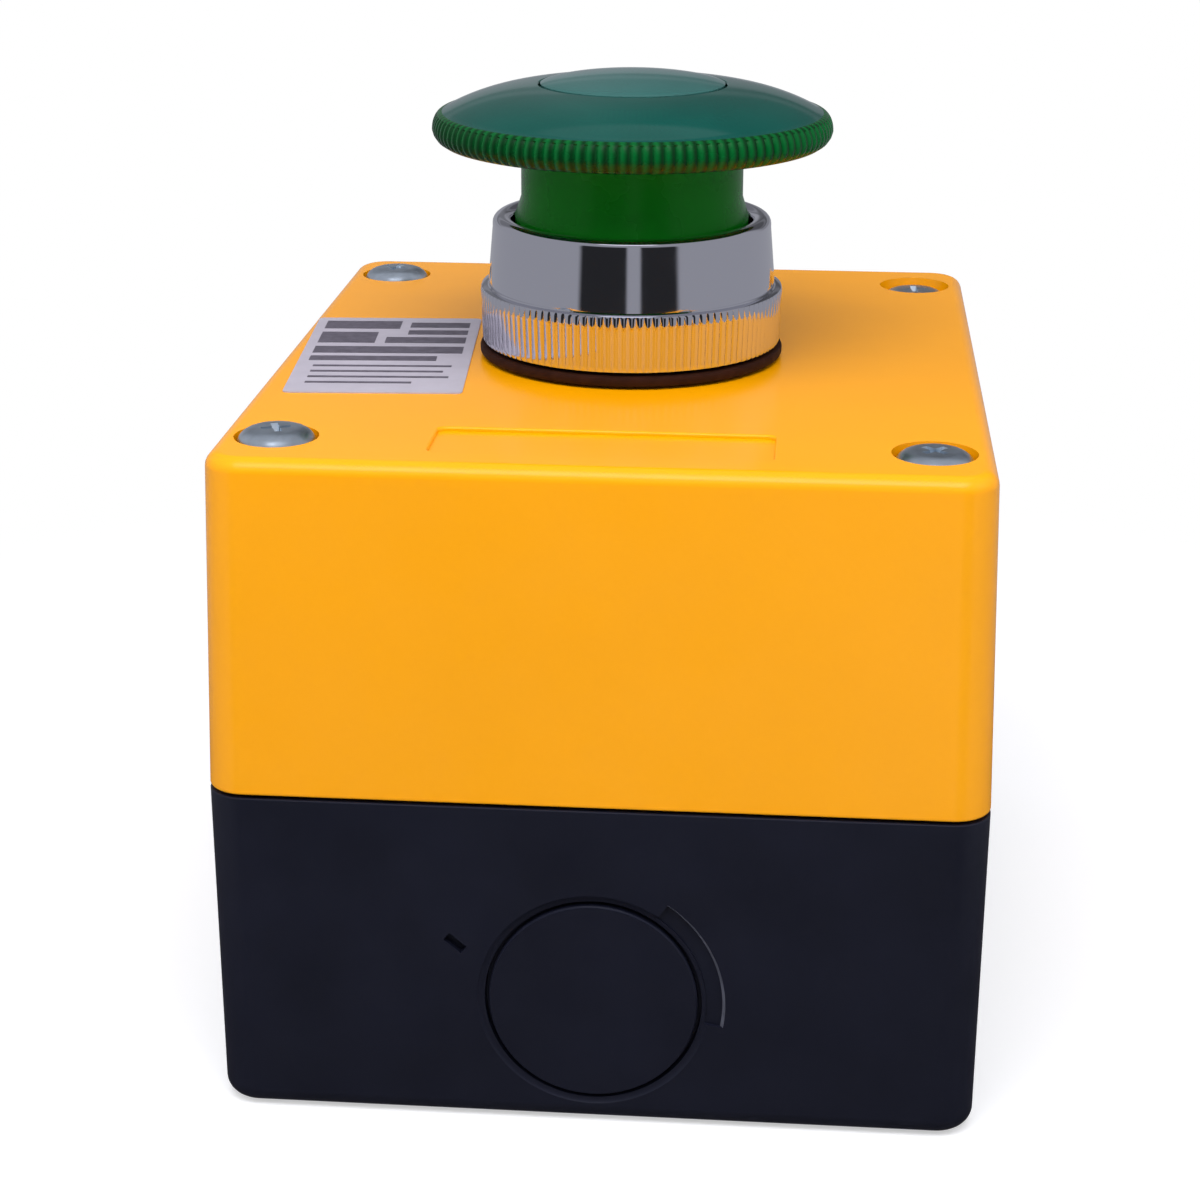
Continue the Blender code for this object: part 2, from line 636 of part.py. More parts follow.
def make_bezel(chrome):
    """Knurled flange, smooth collar with a thick rounded rim, and the barrel below."""
    chamfer = COLLAR_ROUND
    profile = [(BORE_RADIUS, BARREL_BOTTOM), (BARREL_RADIUS - chamfer, BARREL_BOTTOM),
               (BARREL_RADIUS, BARREL_BOTTOM + chamfer), (BARREL_RADIUS, FLANGE_BOTTOM),
               (FLANGE_FOOT_RADIUS - chamfer, FLANGE_BOTTOM),
               (FLANGE_FOOT_RADIUS, FLANGE_BOTTOM + chamfer),
               (FLANGE_TOP_RADIUS, FLANGE_TOP - chamfer),
               (COLLAR_FOOT_RADIUS, FLANGE_TOP)]
    for i in range(EDGE_STEPS + 1):
        angle = math.pi / 2 * i / EDGE_STEPS
        profile.append((COLLAR_TOP_RADIUS - COLLAR_ROUND * (1 - math.cos(angle)),
                        COLLAR_TOP - COLLAR_ROUND * (1 - math.sin(angle))))
    profile += [(POCKET_RADIUS + COLLAR_ROUND, COLLAR_TOP),
                (POCKET_RADIUS, COLLAR_TOP - COLLAR_ROUND),
                (POCKET_RADIUS, POCKET_BOTTOM), (BORE_RADIUS, POCKET_BOTTOM)]
    knurl = (FLANGE_BOTTOM + chamfer / 2, FLANGE_TOP - chamfer / 2, COLLAR_FOOT_RADIUS,
             KNURL_DEPTH)
    bezel = revolve("bezel", profile, KNURL_TEETH * 2, teeth=knurl)
    return finish(bezel, "bezel", chrome)


def make_front_gasket(rubber):
    bore = BARREL_RADIUS + GAP
    top = GASKET_BOTTOM + GASKET_HEIGHT
    ring = revolve("front_gasket", [(bore, GASKET_BOTTOM), (GASKET_RADIUS, GASKET_BOTTOM),
                                    (GASKET_RADIUS, top), (bore, top)])
    return finish(ring, "front_gasket", rubber)


def crown_height(radius):
    """Height of the head's crown at a radius: flat in the middle, steeper to the rim."""
    return CAP_CROWN - CAP_CROWN_RISE * (radius / SHOULDER_RADIUS) ** 3


def disc_bottom():
    return crown_height(DISC_RADIUS + GAP) - DISC_SINK


def make_lens_cap(green, button):
    """Mushroom head: crown, ribbed rim, hollow underside and stem in one moulding."""
    recess = DISC_RADIUS + GAP
    recess_floor = disc_bottom() - GAP
    shoulder = SHOULDER_RADIUS
    profile = [(0, recess_floor), (recess, recess_floor), (recess, crown_height(recess))]
    for i in range(1, EDGE_STEPS + 1):
        radius = recess + (shoulder - recess) * i / EDGE_STEPS
        profile.append((radius, crown_height(radius)))
    middle = CAP_BOTTOM + CAP_EDGE_MIDDLE
    for i in range(1, EDGE_STEPS + 1):
        angle = math.pi / 2 * i / EDGE_STEPS
        profile.append((shoulder + CAP_EDGE_ROUND * math.sin(angle),
                        middle + (CAP_EDGE_TOP - middle) * math.cos(angle)))
    under = CAP_BOTTOM + CAP_UNDER_RISE
    channel_top = CAP_EDGE_TOP - CAP_SKIN
    ceiling = recess_floor - CAP_SKIN
    profile += [(CAP_RADIUS - CAP_UNDERCUT, under),
                (shoulder - GAP, CAP_BOTTOM), (shoulder - CAP_LIP, CAP_BOTTOM + GAP),
                (shoulder - CAP_SKIN, channel_top),
                (STEM_RADIUS + STEM_FILLET, channel_top),
                (STEM_RADIUS, CAP_BOTTOM),
                (STEM_RADIUS, COLLAR_TOP + CAP_SKIN),
                (STEM_FOOT_RADIUS, COLLAR_TOP),
                (STEM_FOOT_RADIUS, STEM_BOTTOM), (STEM_BORE, STEM_BOTTOM),
                (STEM_BORE, ceiling), (0, ceiling)]
    ribs = (under - GAP / 3, CAP_EDGE_TOP - GAP, CAP_RADIUS - CAP_UNDERCUT - GAP, RIB_DEPTH)
    cap = revolve("lens_cap", profile, RIBS * 2, teeth=ribs)
    return finish(cap, "lens_cap", green, button)


def make_lens_disc(green, button):
    """The crowned centre disc, a piece of its own set into the head."""
    edge = disc_bottom() + DISC_EDGE
    profile = [(0, disc_bottom()), (DISC_RADIUS, disc_bottom())]
    steps = EDGE_STEPS + 1
    for i in range(steps):
        angle = math.pi / 2 * i / steps
        profile.append((DISC_RADIUS * math.cos(angle), edge + DISC_CROWN * math.sin(angle)))
    profile.append((0, edge + DISC_CROWN))
    return finish(revolve("lens_disc", profile), "lens_disc", green, button)


def sleeve_top():
    return disc_bottom() - CAP_SKIN - 2 * GAP


def make_plunger_sleeve(plastic, button):
    """The tube inside the head that slides in the barrel, with the groove for its ring."""
    groove_bottom = RING_TOP - RING_THICKNESS - GAP
    groove_top = RING_TOP + GAP
    groove_radius = SLEEVE_RADIUS - RING_GROOVE
    profile = [(SLEEVE_BORE, SLEEVE_BOTTOM), (SLEEVE_RADIUS, SLEEVE_BOTTOM),
               (SLEEVE_RADIUS, groove_bottom), (groove_radius, groove_bottom),
               (groove_radius, groove_top), (SLEEVE_RADIUS, groove_top),
               (SLEEVE_RADIUS, sleeve_top()), (SLEEVE_BORE, sleeve_top())]
    return finish(revolve("plunger_sleeve", profile), "plunger_sleeve", plastic, button)


def make_retaining_ring(steel, button):
    inner = SLEEVE_RADIUS - RING_GROOVE + GAP
    bottom = RING_TOP - RING_THICKNESS
    ring = revolve("retaining_ring", [(inner, bottom), (RING_RADIUS, bottom),
                                      (RING_RADIUS, RING_TOP), (inner, RING_TOP)],
                   MEDIUM_ROUND * 2, sweep=320.0)
    return finish(ring, "retaining_ring", steel, button)


def coil(name, mean_radius, wire, turns, bottom, top, at=(0.0, 0.0), resolution=0):
    """A coil spring as a wire swept along a helix whose end turns lie flat."""
    steps = WIRE_STEPS * turns
    curve = bpy.data.curves.new(name, 'CURVE')
    curve.dimensions = '3D'
    curve.bevel_depth = wire / 2
    curve.bevel_resolution = resolution
    curve.use_fill_caps = True
    spline = curve.splines.new('POLY')
    spline.points.add(steps)
    low, high = bottom + wire / 2, top - wire / 2
    for i, point in enumerate(spline.points):
        turn = i / WIRE_STEPS
        share = min(max((turn - FLAT_TURN) / (turns - 2 * FLAT_TURN), 0.0), 1.0)
        angle = math.tau * turn
        point.co = (at[0] + mean_radius * math.cos(angle), at[1] + mean_radius * math.sin(angle),
                    low + (high - low) * share, 1.0)
    obj = bpy.data.objects.new(name, curve)
    bpy.context.scene.collection.objects.link(obj)
    evaluated = obj.evaluated_get(bpy.context.evaluated_depsgraph_get())
    bm = bmesh.new()
    bm.from_mesh(evaluated.to_mesh())
    bpy.data.objects.remove(obj, do_unlink=True)
    bmesh.ops.remove_doubles(bm, verts=bm.verts, dist=MERGE_DISTANCE)
    return to_object(bm, name)


def make_return_spring(steel):
    mean = (SLEEVE_RADIUS + POCKET_RADIUS) / 2
    spring = coil("return_spring", mean, SPRING_WIRE, SPRING_TURNS, POCKET_BOTTOM + GAP,
                  STEM_BOTTOM - GAP, resolution=1)
    return finish(spring, "return_spring", steel)


def make_mounting_collar(zinc):
    outline = [rounded_rectangle(CLAMP_WIDTH, CLAMP_DEPTH, CLAMP_CORNER, z)
               for z in (CLAMP_BOTTOM, CLAMP_TOP)]
    collar = skin("mounting_collar", outline)
    tools = [cylinder("bore", BARREL_RADIUS + GAP, CLAMP_BOTTOM - GAP, CLAMP_TOP + GAP)]
    for side in ENDS.values():
        head_seat = CLAMP_BOTTOM + CLAMP_HEAD_HEIGHT + 2 * GAP
        bores = [(CLAMP_HEAD_RADIUS + GAP, CLAMP_BOTTOM - GAP, head_seat),
                 (CLAMP_SCREW_RADIUS + GAP, head_seat, CLAMP_TOP + GAP)]
        tools.append(stepped("screw_hole", bores, SMALL_ROUND, (0, side * CLAMP_SCREW_OFFSET)))
    return finish(cut(collar, *tools), "mounting_collar", zinc)


def slotted_screw(name, head_radius, head_height, shank_radius, head_bottom, tip, at):
    """A cheese-head screw that points up, with a screwdriver slot under its head."""
    head_top = head_bottom + head_height
    profile = [(0, head_bottom), (head_radius, head_bottom), (head_radius, head_top),
               (shank_radius, head_top), (shank_radius, tip), (0, tip)]
    screw = revolve(name, profile, SMALL_ROUND)
    slot = block("slot", (-head_radius * 2, -SLOT_WIDTH / 2, head_bottom - GAP),
                 (head_radius * 2, SLOT_WIDTH / 2, head_bottom + SLOT_DEPTH))
    cut(screw, slot)
    screw.data.transform(Matrix.Translation((*at, 0)))
    return screw


def make_clamp_screws(steel):
    for end, side in ENDS.items():
        screw = slotted_screw("clamp_screw", CLAMP_HEAD_RADIUS, CLAMP_HEAD_HEIGHT,
                              CLAMP_SCREW_RADIUS, CLAMP_BOTTOM + GAP, COVER_UNDERSIDE - GAP,
                              (0, side * CLAMP_SCREW_OFFSET))
        finish(screw, "clamp_screw_" + end, steel)


def block_outline():
    half = BLOCK_DEPTH / 2
    return [(-half, BLOCK_TOP), (-half, BLOCK_BOTTOM + BLOCK_CHAMFER),
            (-half + BLOCK_CHAMFER, BLOCK_BOTTOM), (half - BLOCK_CHAMFER, BLOCK_BOTTOM),
            (half, BLOCK_BOTTOM + BLOCK_CHAMFER), (half, BLOCK_TOP)]


def terminal_tools(centre_x):
    """Cutters for a block's two terminal pockets, open at its ends and underside."""
    tools = []
    for side in ENDS.values():
        near = side * (CHAMBER_LENGTH / 2 + BLOCK_WALL)
        far = side * (BLOCK_DEPTH / 2 + GAP)
        half = TERMINAL_POCKET_WIDTH / 2
        tools.append(block("pocket", (centre_x - half, min(near, far), BLOCK_BOTTOM - GAP),
                           (centre_x + half, max(near, far),
                            PLATE_BOTTOM + STRIP_THICKNESS * 2)))
    return tools


def strip_slots(centre_x, bottom, top):
    """Cutters for the slots that let the contact strips through a block's end walls."""
    half = STRIP_WIDTH / 2 + GAP
    tools = []
    for side in ENDS.values():
        near = side * (CHAMBER_LENGTH / 2 - GAP)
        far = side * (CHAMBER_LENGTH / 2 + BLOCK_WALL + GAP)
        tools.append(block("strip_slot", (centre_x - half, min(near, far), bottom - GAP),
                           (centre_x + half, max(near, far), top + GAP)))
    return tools


def terminal_screws(prefix, centre_x, steel):
    offset = (BLOCK_DEPTH - TERMINAL_DEPTH) / 2
    for end, side in ENDS.items():
        screw = slotted_screw("terminal_screw", TERMINAL_HEAD_RADIUS, TERMINAL_HEAD_HEIGHT,
                              TERMINAL_SCREW_RADIUS, BLOCK_BOTTOM + GAP, PLATE_BOTTOM - GAP,
                              (centre_x, side * offset))
        finish(screw, prefix + "_terminal_screw_" + end, steel)


def contact_strips(prefix, centre_x, arm_bottom, tip_side, brass):
    """Two fixed contacts. Each runs from its terminal plate to an arm at arm_bottom, with a
    round tip on its upper (1) or lower (-1) side."""
    plate_end = BLOCK_DEPTH / 2 - GAP
    leg = CHAMBER_LENGTH / 2 + BLOCK_WALL + GAP
    arm_top = arm_bottom + STRIP_THICKNESS
    plate_top = PLATE_BOTTOM + STRIP_THICKNESS
    half = STRIP_WIDTH / 2
    for end, side in ENDS.items():
        if arm_bottom > plate_top:
            outline = [(STRIP_INNER_END, arm_bottom), (leg, arm_bottom), (leg, PLATE_BOTTOM),
                       (plate_end, PLATE_BOTTOM), (plate_end, plate_top),
                       (leg + STRIP_THICKNESS, plate_top), (leg + STRIP_THICKNESS, arm_top),
                       (STRIP_INNER_END, arm_top)]
        else:
            outline = [(STRIP_INNER_END, arm_bottom), (plate_end, arm_bottom),
                       (plate_end, arm_top), (STRIP_INNER_END, arm_top)]
        outline = [(side * y, z) for y, z in outline]
        strip = prism_x("strip", outline, centre_x - half, centre_x + half)
        face = arm_top if tip_side > 0 else arm_bottom
        low = face - (GAP if tip_side > 0 else TIP_HEIGHT)
        high = face + (TIP_HEIGHT if tip_side > 0 else GAP)
        tip_place = (centre_x, side * (STRIP_INNER_END + TIP_RADIUS + GAP))
        weld(strip, cylinder("tip", TIP_RADIUS, low, high, SMALL_ROUND, tip_place))
        finish(strip, prefix + "_contact_" + end, brass)


def make_contact_block(prefix, side, normally_open, looks):
    """One contact block: housing, side cover, fixed contacts and screws on the enclosure,
    and the plunger with its contact bridge on a slide of its own."""
    inner = side * (LAMP_BLOCK_WIDTH / 2 + GAP)
    outer = inner + side * BLOCK_WIDTH
    wall = inner + side * BLOCK_WALL
    cover_face = outer - side * BLOCK_COVER
    open_face = cover_face - side * GAP
    centre = (wall + open_face) / 2
    half_room = abs(open_face - wall) / 2 - GAP

    arm_bottom = PLATE_BOTTOM if normally_open else BRIDGE_TOP + GAP + TIP_HEIGHT
    housing = prism_x("housing", block_outline(), min(inner, open_face), max(inner, open_face))
    past = open_face + side * GAP
    chamber = block("chamber", (min(wall, past), -CHAMBER_LENGTH / 2, CHAMBER_BOTTOM),
                    (max(wall, past), CHAMBER_LENGTH / 2, CHAMBER_TOP))
    stem_inner = wall + side * GAP
    stem_outer = stem_inner + side * PLUNGER_WIDTH
    slot_far = stem_outer + side * GAP
    slot_half = PLUNGER_DEPTH / 2 + GAP
    stem_slot = block("stem_slot", (min(wall, slot_far), -slot_half, CHAMBER_TOP - GAP),
                      (max(wall, slot_far), slot_half, BLOCK_TOP + GAP))
    cut(housing, chamber, stem_slot, *terminal_tools(centre),
        *strip_slots(centre, arm_bottom, arm_bottom + STRIP_THICKNESS))
    if not normally_open:
        cut(housing, *leg_tools(centre, arm_bottom + STRIP_THICKNESS))
    finish(housing, prefix + "_block_housing", looks["block"])
    cover = prism_x("cover", block_outline(), min(cover_face, outer), max(cover_face, outer))
    finish(cover, prefix + "_block_cover", looks["block_cover"])
    contact_strips(prefix, centre, arm_bottom, 1 if normally_open else -1, looks["brass"])
    terminal_screws(prefix, centre, looks["steel"])

    slide = carrier(prefix + "_slide", (centre, 0, HEAD_TOP))
    stem = block("stem", (min(stem_inner, stem_outer), -PLUNGER_DEPTH / 2, HEAD_BOTTOM),
                 (max(stem_inner, stem_outer), PLUNGER_DEPTH / 2, SLEEVE_BOTTOM - GAP))
    head = block("head", (centre - half_room, -PLUNGER_HEAD_DEPTH / 2, HEAD_BOTTOM),
                 (centre + half_room, PLUNGER_HEAD_DEPTH / 2, HEAD_TOP), GAP)
    window = STRIP_WIDTH / 2 + GAP
    neck_half = window + PLUNGER_NECK_SIDE
    neck = block("neck", (centre - neck_half, -PLUNGER_DEPTH / 2 + GAP, NECK_BOTTOM),
                 (centre + neck_half, PLUNGER_DEPTH / 2 - GAP, HEAD_BOTTOM + GAP))
    opening = block("window", (centre - window, -PLUNGER_DEPTH, BRIDGE_BOTTOM - GAP),
                    (centre + window, PLUNGER_DEPTH, BRIDGE_TOP + GAP))
    cut(weld(head, stem, neck), opening)
    finish(head, prefix + "_plunger", looks["plunger"], slide)
    bridge = block("bridge", (centre - STRIP_WIDTH / 2, -BRIDGE_HALF_LENGTH, BRIDGE_BOTTOM),
                   (centre + STRIP_WIDTH / 2, BRIDGE_HALF_LENGTH, BRIDGE_TOP), GAP / 2)
    finish(bridge, prefix + "_bridge", looks["brass"], slide)
    spring = coil("spring", CONTACT_SPRING_RADIUS, CONTACT_SPRING_WIRE, CONTACT_SPRING_TURNS,
                  CHAMBER_BOTTOM + GAP, NECK_BOTTOM - GAP, (centre, 0))
    finish(spring, prefix + "_spring", looks["steel"])


def leg_tools(centre_x, top):
    """Cutters that let the raised arms' legs run up the outside of a block's end walls."""
    tools = []
    half = STRIP_WIDTH / 2 + GAP
    for side in (-1, 1):
        near = side * (CHAMBER_LENGTH / 2 + BLOCK_WALL)
        far = near + side * (STRIP_THICKNESS + 2 * GAP)
        tools.append(block("leg", (centre_x - half, min(near, far), PLATE_BOTTOM),
                           (centre_x + half, max(near, far), top + GAP)))
    return tools


def make_lamp_block(looks):
    half = LAMP_BLOCK_WIDTH / 2
    socket_bore = LAMP_RADIUS + GAP
    housing = prism_x("housing", block_outline(), -half, half)
    foot = BLOCK_TOP + GAP
    socket = [(half - GAP, BLOCK_TOP - GAP, foot),
              (socket_bore + SOCKET_WALL, foot, BLOCK_TOP + SOCKET_HEIGHT)]
    weld(housing, stepped("socket", socket, LAMP_ROUND))
    room = half - BLOCK_WALL
    chamber = block("chamber", (-room, -CHAMBER_LENGTH / 2, CHAMBER_BOTTOM),
                    (room, CHAMBER_LENGTH / 2, CHAMBER_TOP))
    bores = [(LAMP_TIP_RADIUS + GAP, CHAMBER_TOP - GAP, SOCKET_BOTTOM),
             (socket_bore, SOCKET_BOTTOM, BLOCK_TOP + SOCKET_HEIGHT + GAP)]
    cut(housing, chamber, stepped("socket_bore", bores, LAMP_ROUND), *terminal_tools(0.0),
        *strip_slots(0.0, PLATE_BOTTOM, PLATE_BOTTOM + STRIP_THICKNESS))
    finish(housing, "lamp_block_housing", looks["block"])

    # The back strip rises to the lamp's tip, and the front one ends beside it
    plate_end = BLOCK_DEPTH / 2 - GAP
    plate_top = PLATE_BOTTOM + STRIP_THICKNESS
    tip_height = LAMP_BOTTOM - LAMP_TIP_HEIGHT - GAP
    rising = [(0, PLATE_BOTTOM), (plate_end, PLATE_BOTTOM), (plate_end, plate_top),
              (STRIP_THICKNESS, plate_top), (STRIP_THICKNESS, tip_height), (0, tip_height)]
    side_reach = CHAMBER_LENGTH / 2 - BLOCK_WALL
    flat = [(-plate_end, PLATE_BOTTOM), (-side_reach, PLATE_BOTTOM), (-side_reach, plate_top),
            (-plate_end, plate_top)]
    for end, outline in (("back", rising), ("front", flat)):
        strip = prism_x("strip", outline, -STRIP_WIDTH / 2, STRIP_WIDTH / 2)
        finish(strip, "lamp_contact_" + end, looks["brass"])
    terminal_screws("lamp", 0.0, looks["steel"])


def make_lamp(looks):
    base = revolve("lamp_base", [(0, LAMP_BOTTOM - LAMP_TIP_HEIGHT),
                                 (LAMP_TIP_RADIUS, LAMP_BOTTOM - LAMP_TIP_HEIGHT),
                                 (LAMP_TIP_RADIUS, LAMP_BOTTOM), (LAMP_RADIUS, LAMP_BOTTOM),
                                 (LAMP_RADIUS, LAMP_SHOULDER), (0, LAMP_SHOULDER)],
                   LAMP_ROUND)
    finish(base, "lamp_base", looks["nickel"])
    glass_bottom = LAMP_SHOULDER + GAP
    straight = glass_bottom + LAMP_GLASS_HEIGHT - LAMP_RADIUS
    radius = LAMP_RADIUS - GAP
    profile = [(0, glass_bottom), (radius, glass_bottom)]
    for i in range(EDGE_STEPS):
        angle = math.pi / 2 * i / EDGE_STEPS
        profile.append((radius * math.cos(angle), straight + radius * math.sin(angle)))
    profile.append((0, straight + radius))
    finish(revolve("lamp_bulb", profile, LAMP_ROUND), "lamp_bulb", looks["glass"])


def make_looks():
    return {
        "black": material("black_plastic", (0.012, 0.013, 0.022), 0.42),
        "yellow": material("yellow_plastic", (1.0, 0.40, 0.015), 0.3),
        "green": material("green_lens", (0.0, 0.16, 0.04), 0.15, transmission=0.6),
        "chrome": material("chrome_plate", (0.8, 0.8, 0.82), 0.08, metallic=1.0),
        "zinc": material("cast_zinc", (0.55, 0.55, 0.57), 0.45, metallic=1.0),
        "steel": material("zinc_plated_steel", (0.6, 0.62, 0.66), 0.3, metallic=1.0),
        "brass": material("brass", (0.75, 0.55, 0.25), 0.3, metallic=1.0),
        "nickel": material("nickel_plate", (0.7, 0.68, 0.63), 0.2, metallic=1.0),
        "rubber": material("black_rubber", (0.02, 0.018, 0.018), 0.7),
        "block": material("block_plastic", (0.05, 0.05, 0.055), 0.5),
        "block_cover": material("block_cover_plastic", (0.12, 0.12, 0.13), 0.45),
        "plunger": material("plunger_plastic", (0.75, 0.75, 0.72), 0.4),
        "glass": material("lamp_glass", (0.9, 0.95, 0.9), 0.05, transmission=0.9),
    }


def build():
    clear_scene()
    looks = make_looks()
    make_base_housing(looks["black"])
    make_cover_housing(looks["yellow"])
    make_cover_gasket(looks["rubber"])
    make_cover_screws(looks["steel"])
    make_screw_inserts(looks["brass"])
    make_bezel(looks["chrome"])
    make_front_gasket(looks["rubber"])
    make_mounting_collar(looks["zinc"])
    make_clamp_screws(looks["steel"])
    make_return_spring(looks["steel"])
    make_contact_block("no", -1, True, looks)
    make_contact_block("nc", 1, False, looks)
    make_lamp_block(looks)
    make_lamp(looks)
    button = carrier("button_slide", (0, 0, COLLAR_TOP))
    make_lens_cap(looks["green"], button)
    make_lens_disc(looks["green"], button)
    make_plunger_sleeve(looks["plunger"], button)
    make_retaining_ring(looks["steel"], button)


build()
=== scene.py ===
"""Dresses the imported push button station: finely moulded housings, a chromed bezel with its
knurl, a translucent ribbed mushroom head, plated screws and a bare rating plate.

Lengths are in metres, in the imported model's frame: +Z is the button's axis, and -Y is the end
with the cable knock-out that faces the camera.
"""
import json
import math

import bmesh
import bpy
from bpy.props import FloatProperty, FloatVectorProperty, IntProperty, PointerProperty
from mathutils import Matrix, Vector


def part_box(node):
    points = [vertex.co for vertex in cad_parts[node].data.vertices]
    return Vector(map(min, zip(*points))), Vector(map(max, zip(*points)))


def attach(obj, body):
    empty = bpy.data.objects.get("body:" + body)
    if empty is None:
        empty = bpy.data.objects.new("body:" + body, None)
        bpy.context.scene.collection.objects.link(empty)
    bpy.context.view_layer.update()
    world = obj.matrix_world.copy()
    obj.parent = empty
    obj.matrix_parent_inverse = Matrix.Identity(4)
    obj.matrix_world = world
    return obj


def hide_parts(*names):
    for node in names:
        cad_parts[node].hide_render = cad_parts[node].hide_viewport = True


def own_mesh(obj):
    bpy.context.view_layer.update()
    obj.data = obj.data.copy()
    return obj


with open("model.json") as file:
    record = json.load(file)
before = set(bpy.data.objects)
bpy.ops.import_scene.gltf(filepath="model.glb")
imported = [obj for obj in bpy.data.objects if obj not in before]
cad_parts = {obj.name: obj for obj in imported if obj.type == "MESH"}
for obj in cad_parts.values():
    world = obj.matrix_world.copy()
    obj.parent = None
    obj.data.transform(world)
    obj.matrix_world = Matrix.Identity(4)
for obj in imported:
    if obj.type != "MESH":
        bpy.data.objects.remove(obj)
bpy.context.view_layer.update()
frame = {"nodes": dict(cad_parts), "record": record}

bl_info = {
    "name": "Push Button Station",
    "version": (1, 0, 0),
    "blender": (4, 5, 0),
    "location": "View3D > Sidebar > Station",
    "description": "Models the visible pieces of a push button station and lights them",
    "category": "Object",
}

CLEARANCE = 0.0003
CORNERS = {"front_left": (-1, -1), "front_right": (1, -1), "back_left": (-1, 1),
           "back_right": (1, 1)}
ENDS = {"front": -1, "back": 1}
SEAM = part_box("cover_housing")[0].z - CLEARANCE
COVER_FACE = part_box("cover_housing")[1].z
NEAR = 0.000004


def linear(text):
    """An sRGB hex colour as linear red, green and blue."""
    parts = [int(text[i:i + 2], 16) / 255 for i in (1, 3, 5)]
    return tuple(c / 12.92 if c <= 0.04045 else ((c + 0.055) / 1.055) ** 2.4 for c in parts)


def length(name, description, default, **limits):
    return FloatProperty(name=name, description=description, default=default, unit='LENGTH',
                         subtype='DISTANCE', precision=5, **limits)


def colour(name, description, text):
    return FloatVectorProperty(name=name, description=description, default=linear(text),
                               subtype='COLOR', min=0.0, max=1.0)


class StationHousingSizes(bpy.types.PropertyGroup):
    corner: length("Corner radius", "Radius of the box's upright corners", 0.0036)
    wall: length("Wall", "Thickness of the side walls", 0.0025)
    rebate: length("Rebate", "Wall left outside the tongue of the joint", 0.0015)
    tongue: length("Tongue", "Thickness of the tongue that locates the cover", 0.001)
    top: length("Top", "Thickness of the cover's top", 0.003)
    rim_edge: length("Rim edge", "Softened edge of the cover along the seam", 0.0003)
    floor: length("Floor", "Thickness of the base's floor", 0.0025)
    cover_draft: length("Cover draft", "How far the cover narrows to its top, each side", 0.0007)
    base_draft: length("Base draft", "How far the base narrows to its floor, each side", 0.0003)
    top_round: length("Top round", "Radius of the cover's upper edge", 0.0014)
    foot_round: length("Foot round", "Radius of the base's lower edge", 0.0018)
    panel_hole: length("Panel hole", "Radius of the hole for the operator", 0.0113)
    legend_length: length("Legend length", "Length of the shallow legend recess", 0.031)
    legend_width: length("Legend width", "Width of the shallow legend recess", 0.008)
    legend_depth: length("Legend depth", "Depth of the shallow legend recess", 0.0004)
    legend_inset: length("Legend inset", "From the front end to the recess's middle", 0.0092)
    slot_length: length("Slot length", "Length of the floor's two fixing slots", 0.0092)
    slot_width: length("Slot width", "Width of the floor's two fixing slots", 0.0048)
    slot_inset: length("Slot inset", "From each end to its fixing slot", 0.016)
    pillar: length("Pillar", "Radius of the screw pillars", 0.004)


class StationKnockoutSizes(bpy.types.PropertyGroup):
    radius: length("Radius", "Radius of the disc that is knocked out", 0.00975)
    groove: length("Groove", "Width and depth of the stepped groove round it", 0.0011)
    line: length("Line", "Width of the groove's deep line beside the disc", 0.0004)
    shelf: length("Shelf", "Depth of the groove's shallow outer step", 0.0003)
    foot: length("Foot", "Wall left between the groove and the underside", 0.00185)
    score: length("Score", "Width of the shallow score beside the groove", 0.0015)
    score_slope: length("Score slope", "Width of the score's sloping outer edge", 0.0003)
    score_depth: length("Score depth", "Depth of the shallow score", 0.0004)
    slot_gap: length("Slot gap", "From the score's edge to the pry slot", 0.0016)
    slot_length: length("Slot length", "Length of the pry slot", 0.0021)
    slot_width: length("Slot width", "Width of the pry slot", 0.0009)


class StationBezelSizes(bpy.types.PropertyGroup):
    barrel: length("Barrel", "Radius of the threaded barrel", 0.011)
    bore: length("Bore", "Radius of the hole through the barrel", 0.0094)
    pocket: length("Pocket", "Radius of the well inside the collar", 0.0121)
    collar_top: length("Collar top", "Radius of the collar at its rim", 0.01405)
    collar_foot: length("Collar foot", "Radius of the collar at its foot", 0.0145)
    flange_top: length("Flange top", "Radius of the knurled flange at its top", 0.0153)
    flange_foot: length("Flange foot", "Radius of the knurled flange at its foot", 0.01514)
    flange_height: length("Flange height", "Height of the knurled flange", 0.0057)
    rim_round: length("Rim round", "Radius of the rim's edges", 0.0008)
    foot_round: length("Foot round", "Radius of the flange's edges", 0.0003)
    teeth: IntProperty(name="Teeth", description="Teeth of the knurl", default=120, min=12)
    tooth_depth: length("Tooth depth", "Depth of the grooves between the teeth", 0.00013)


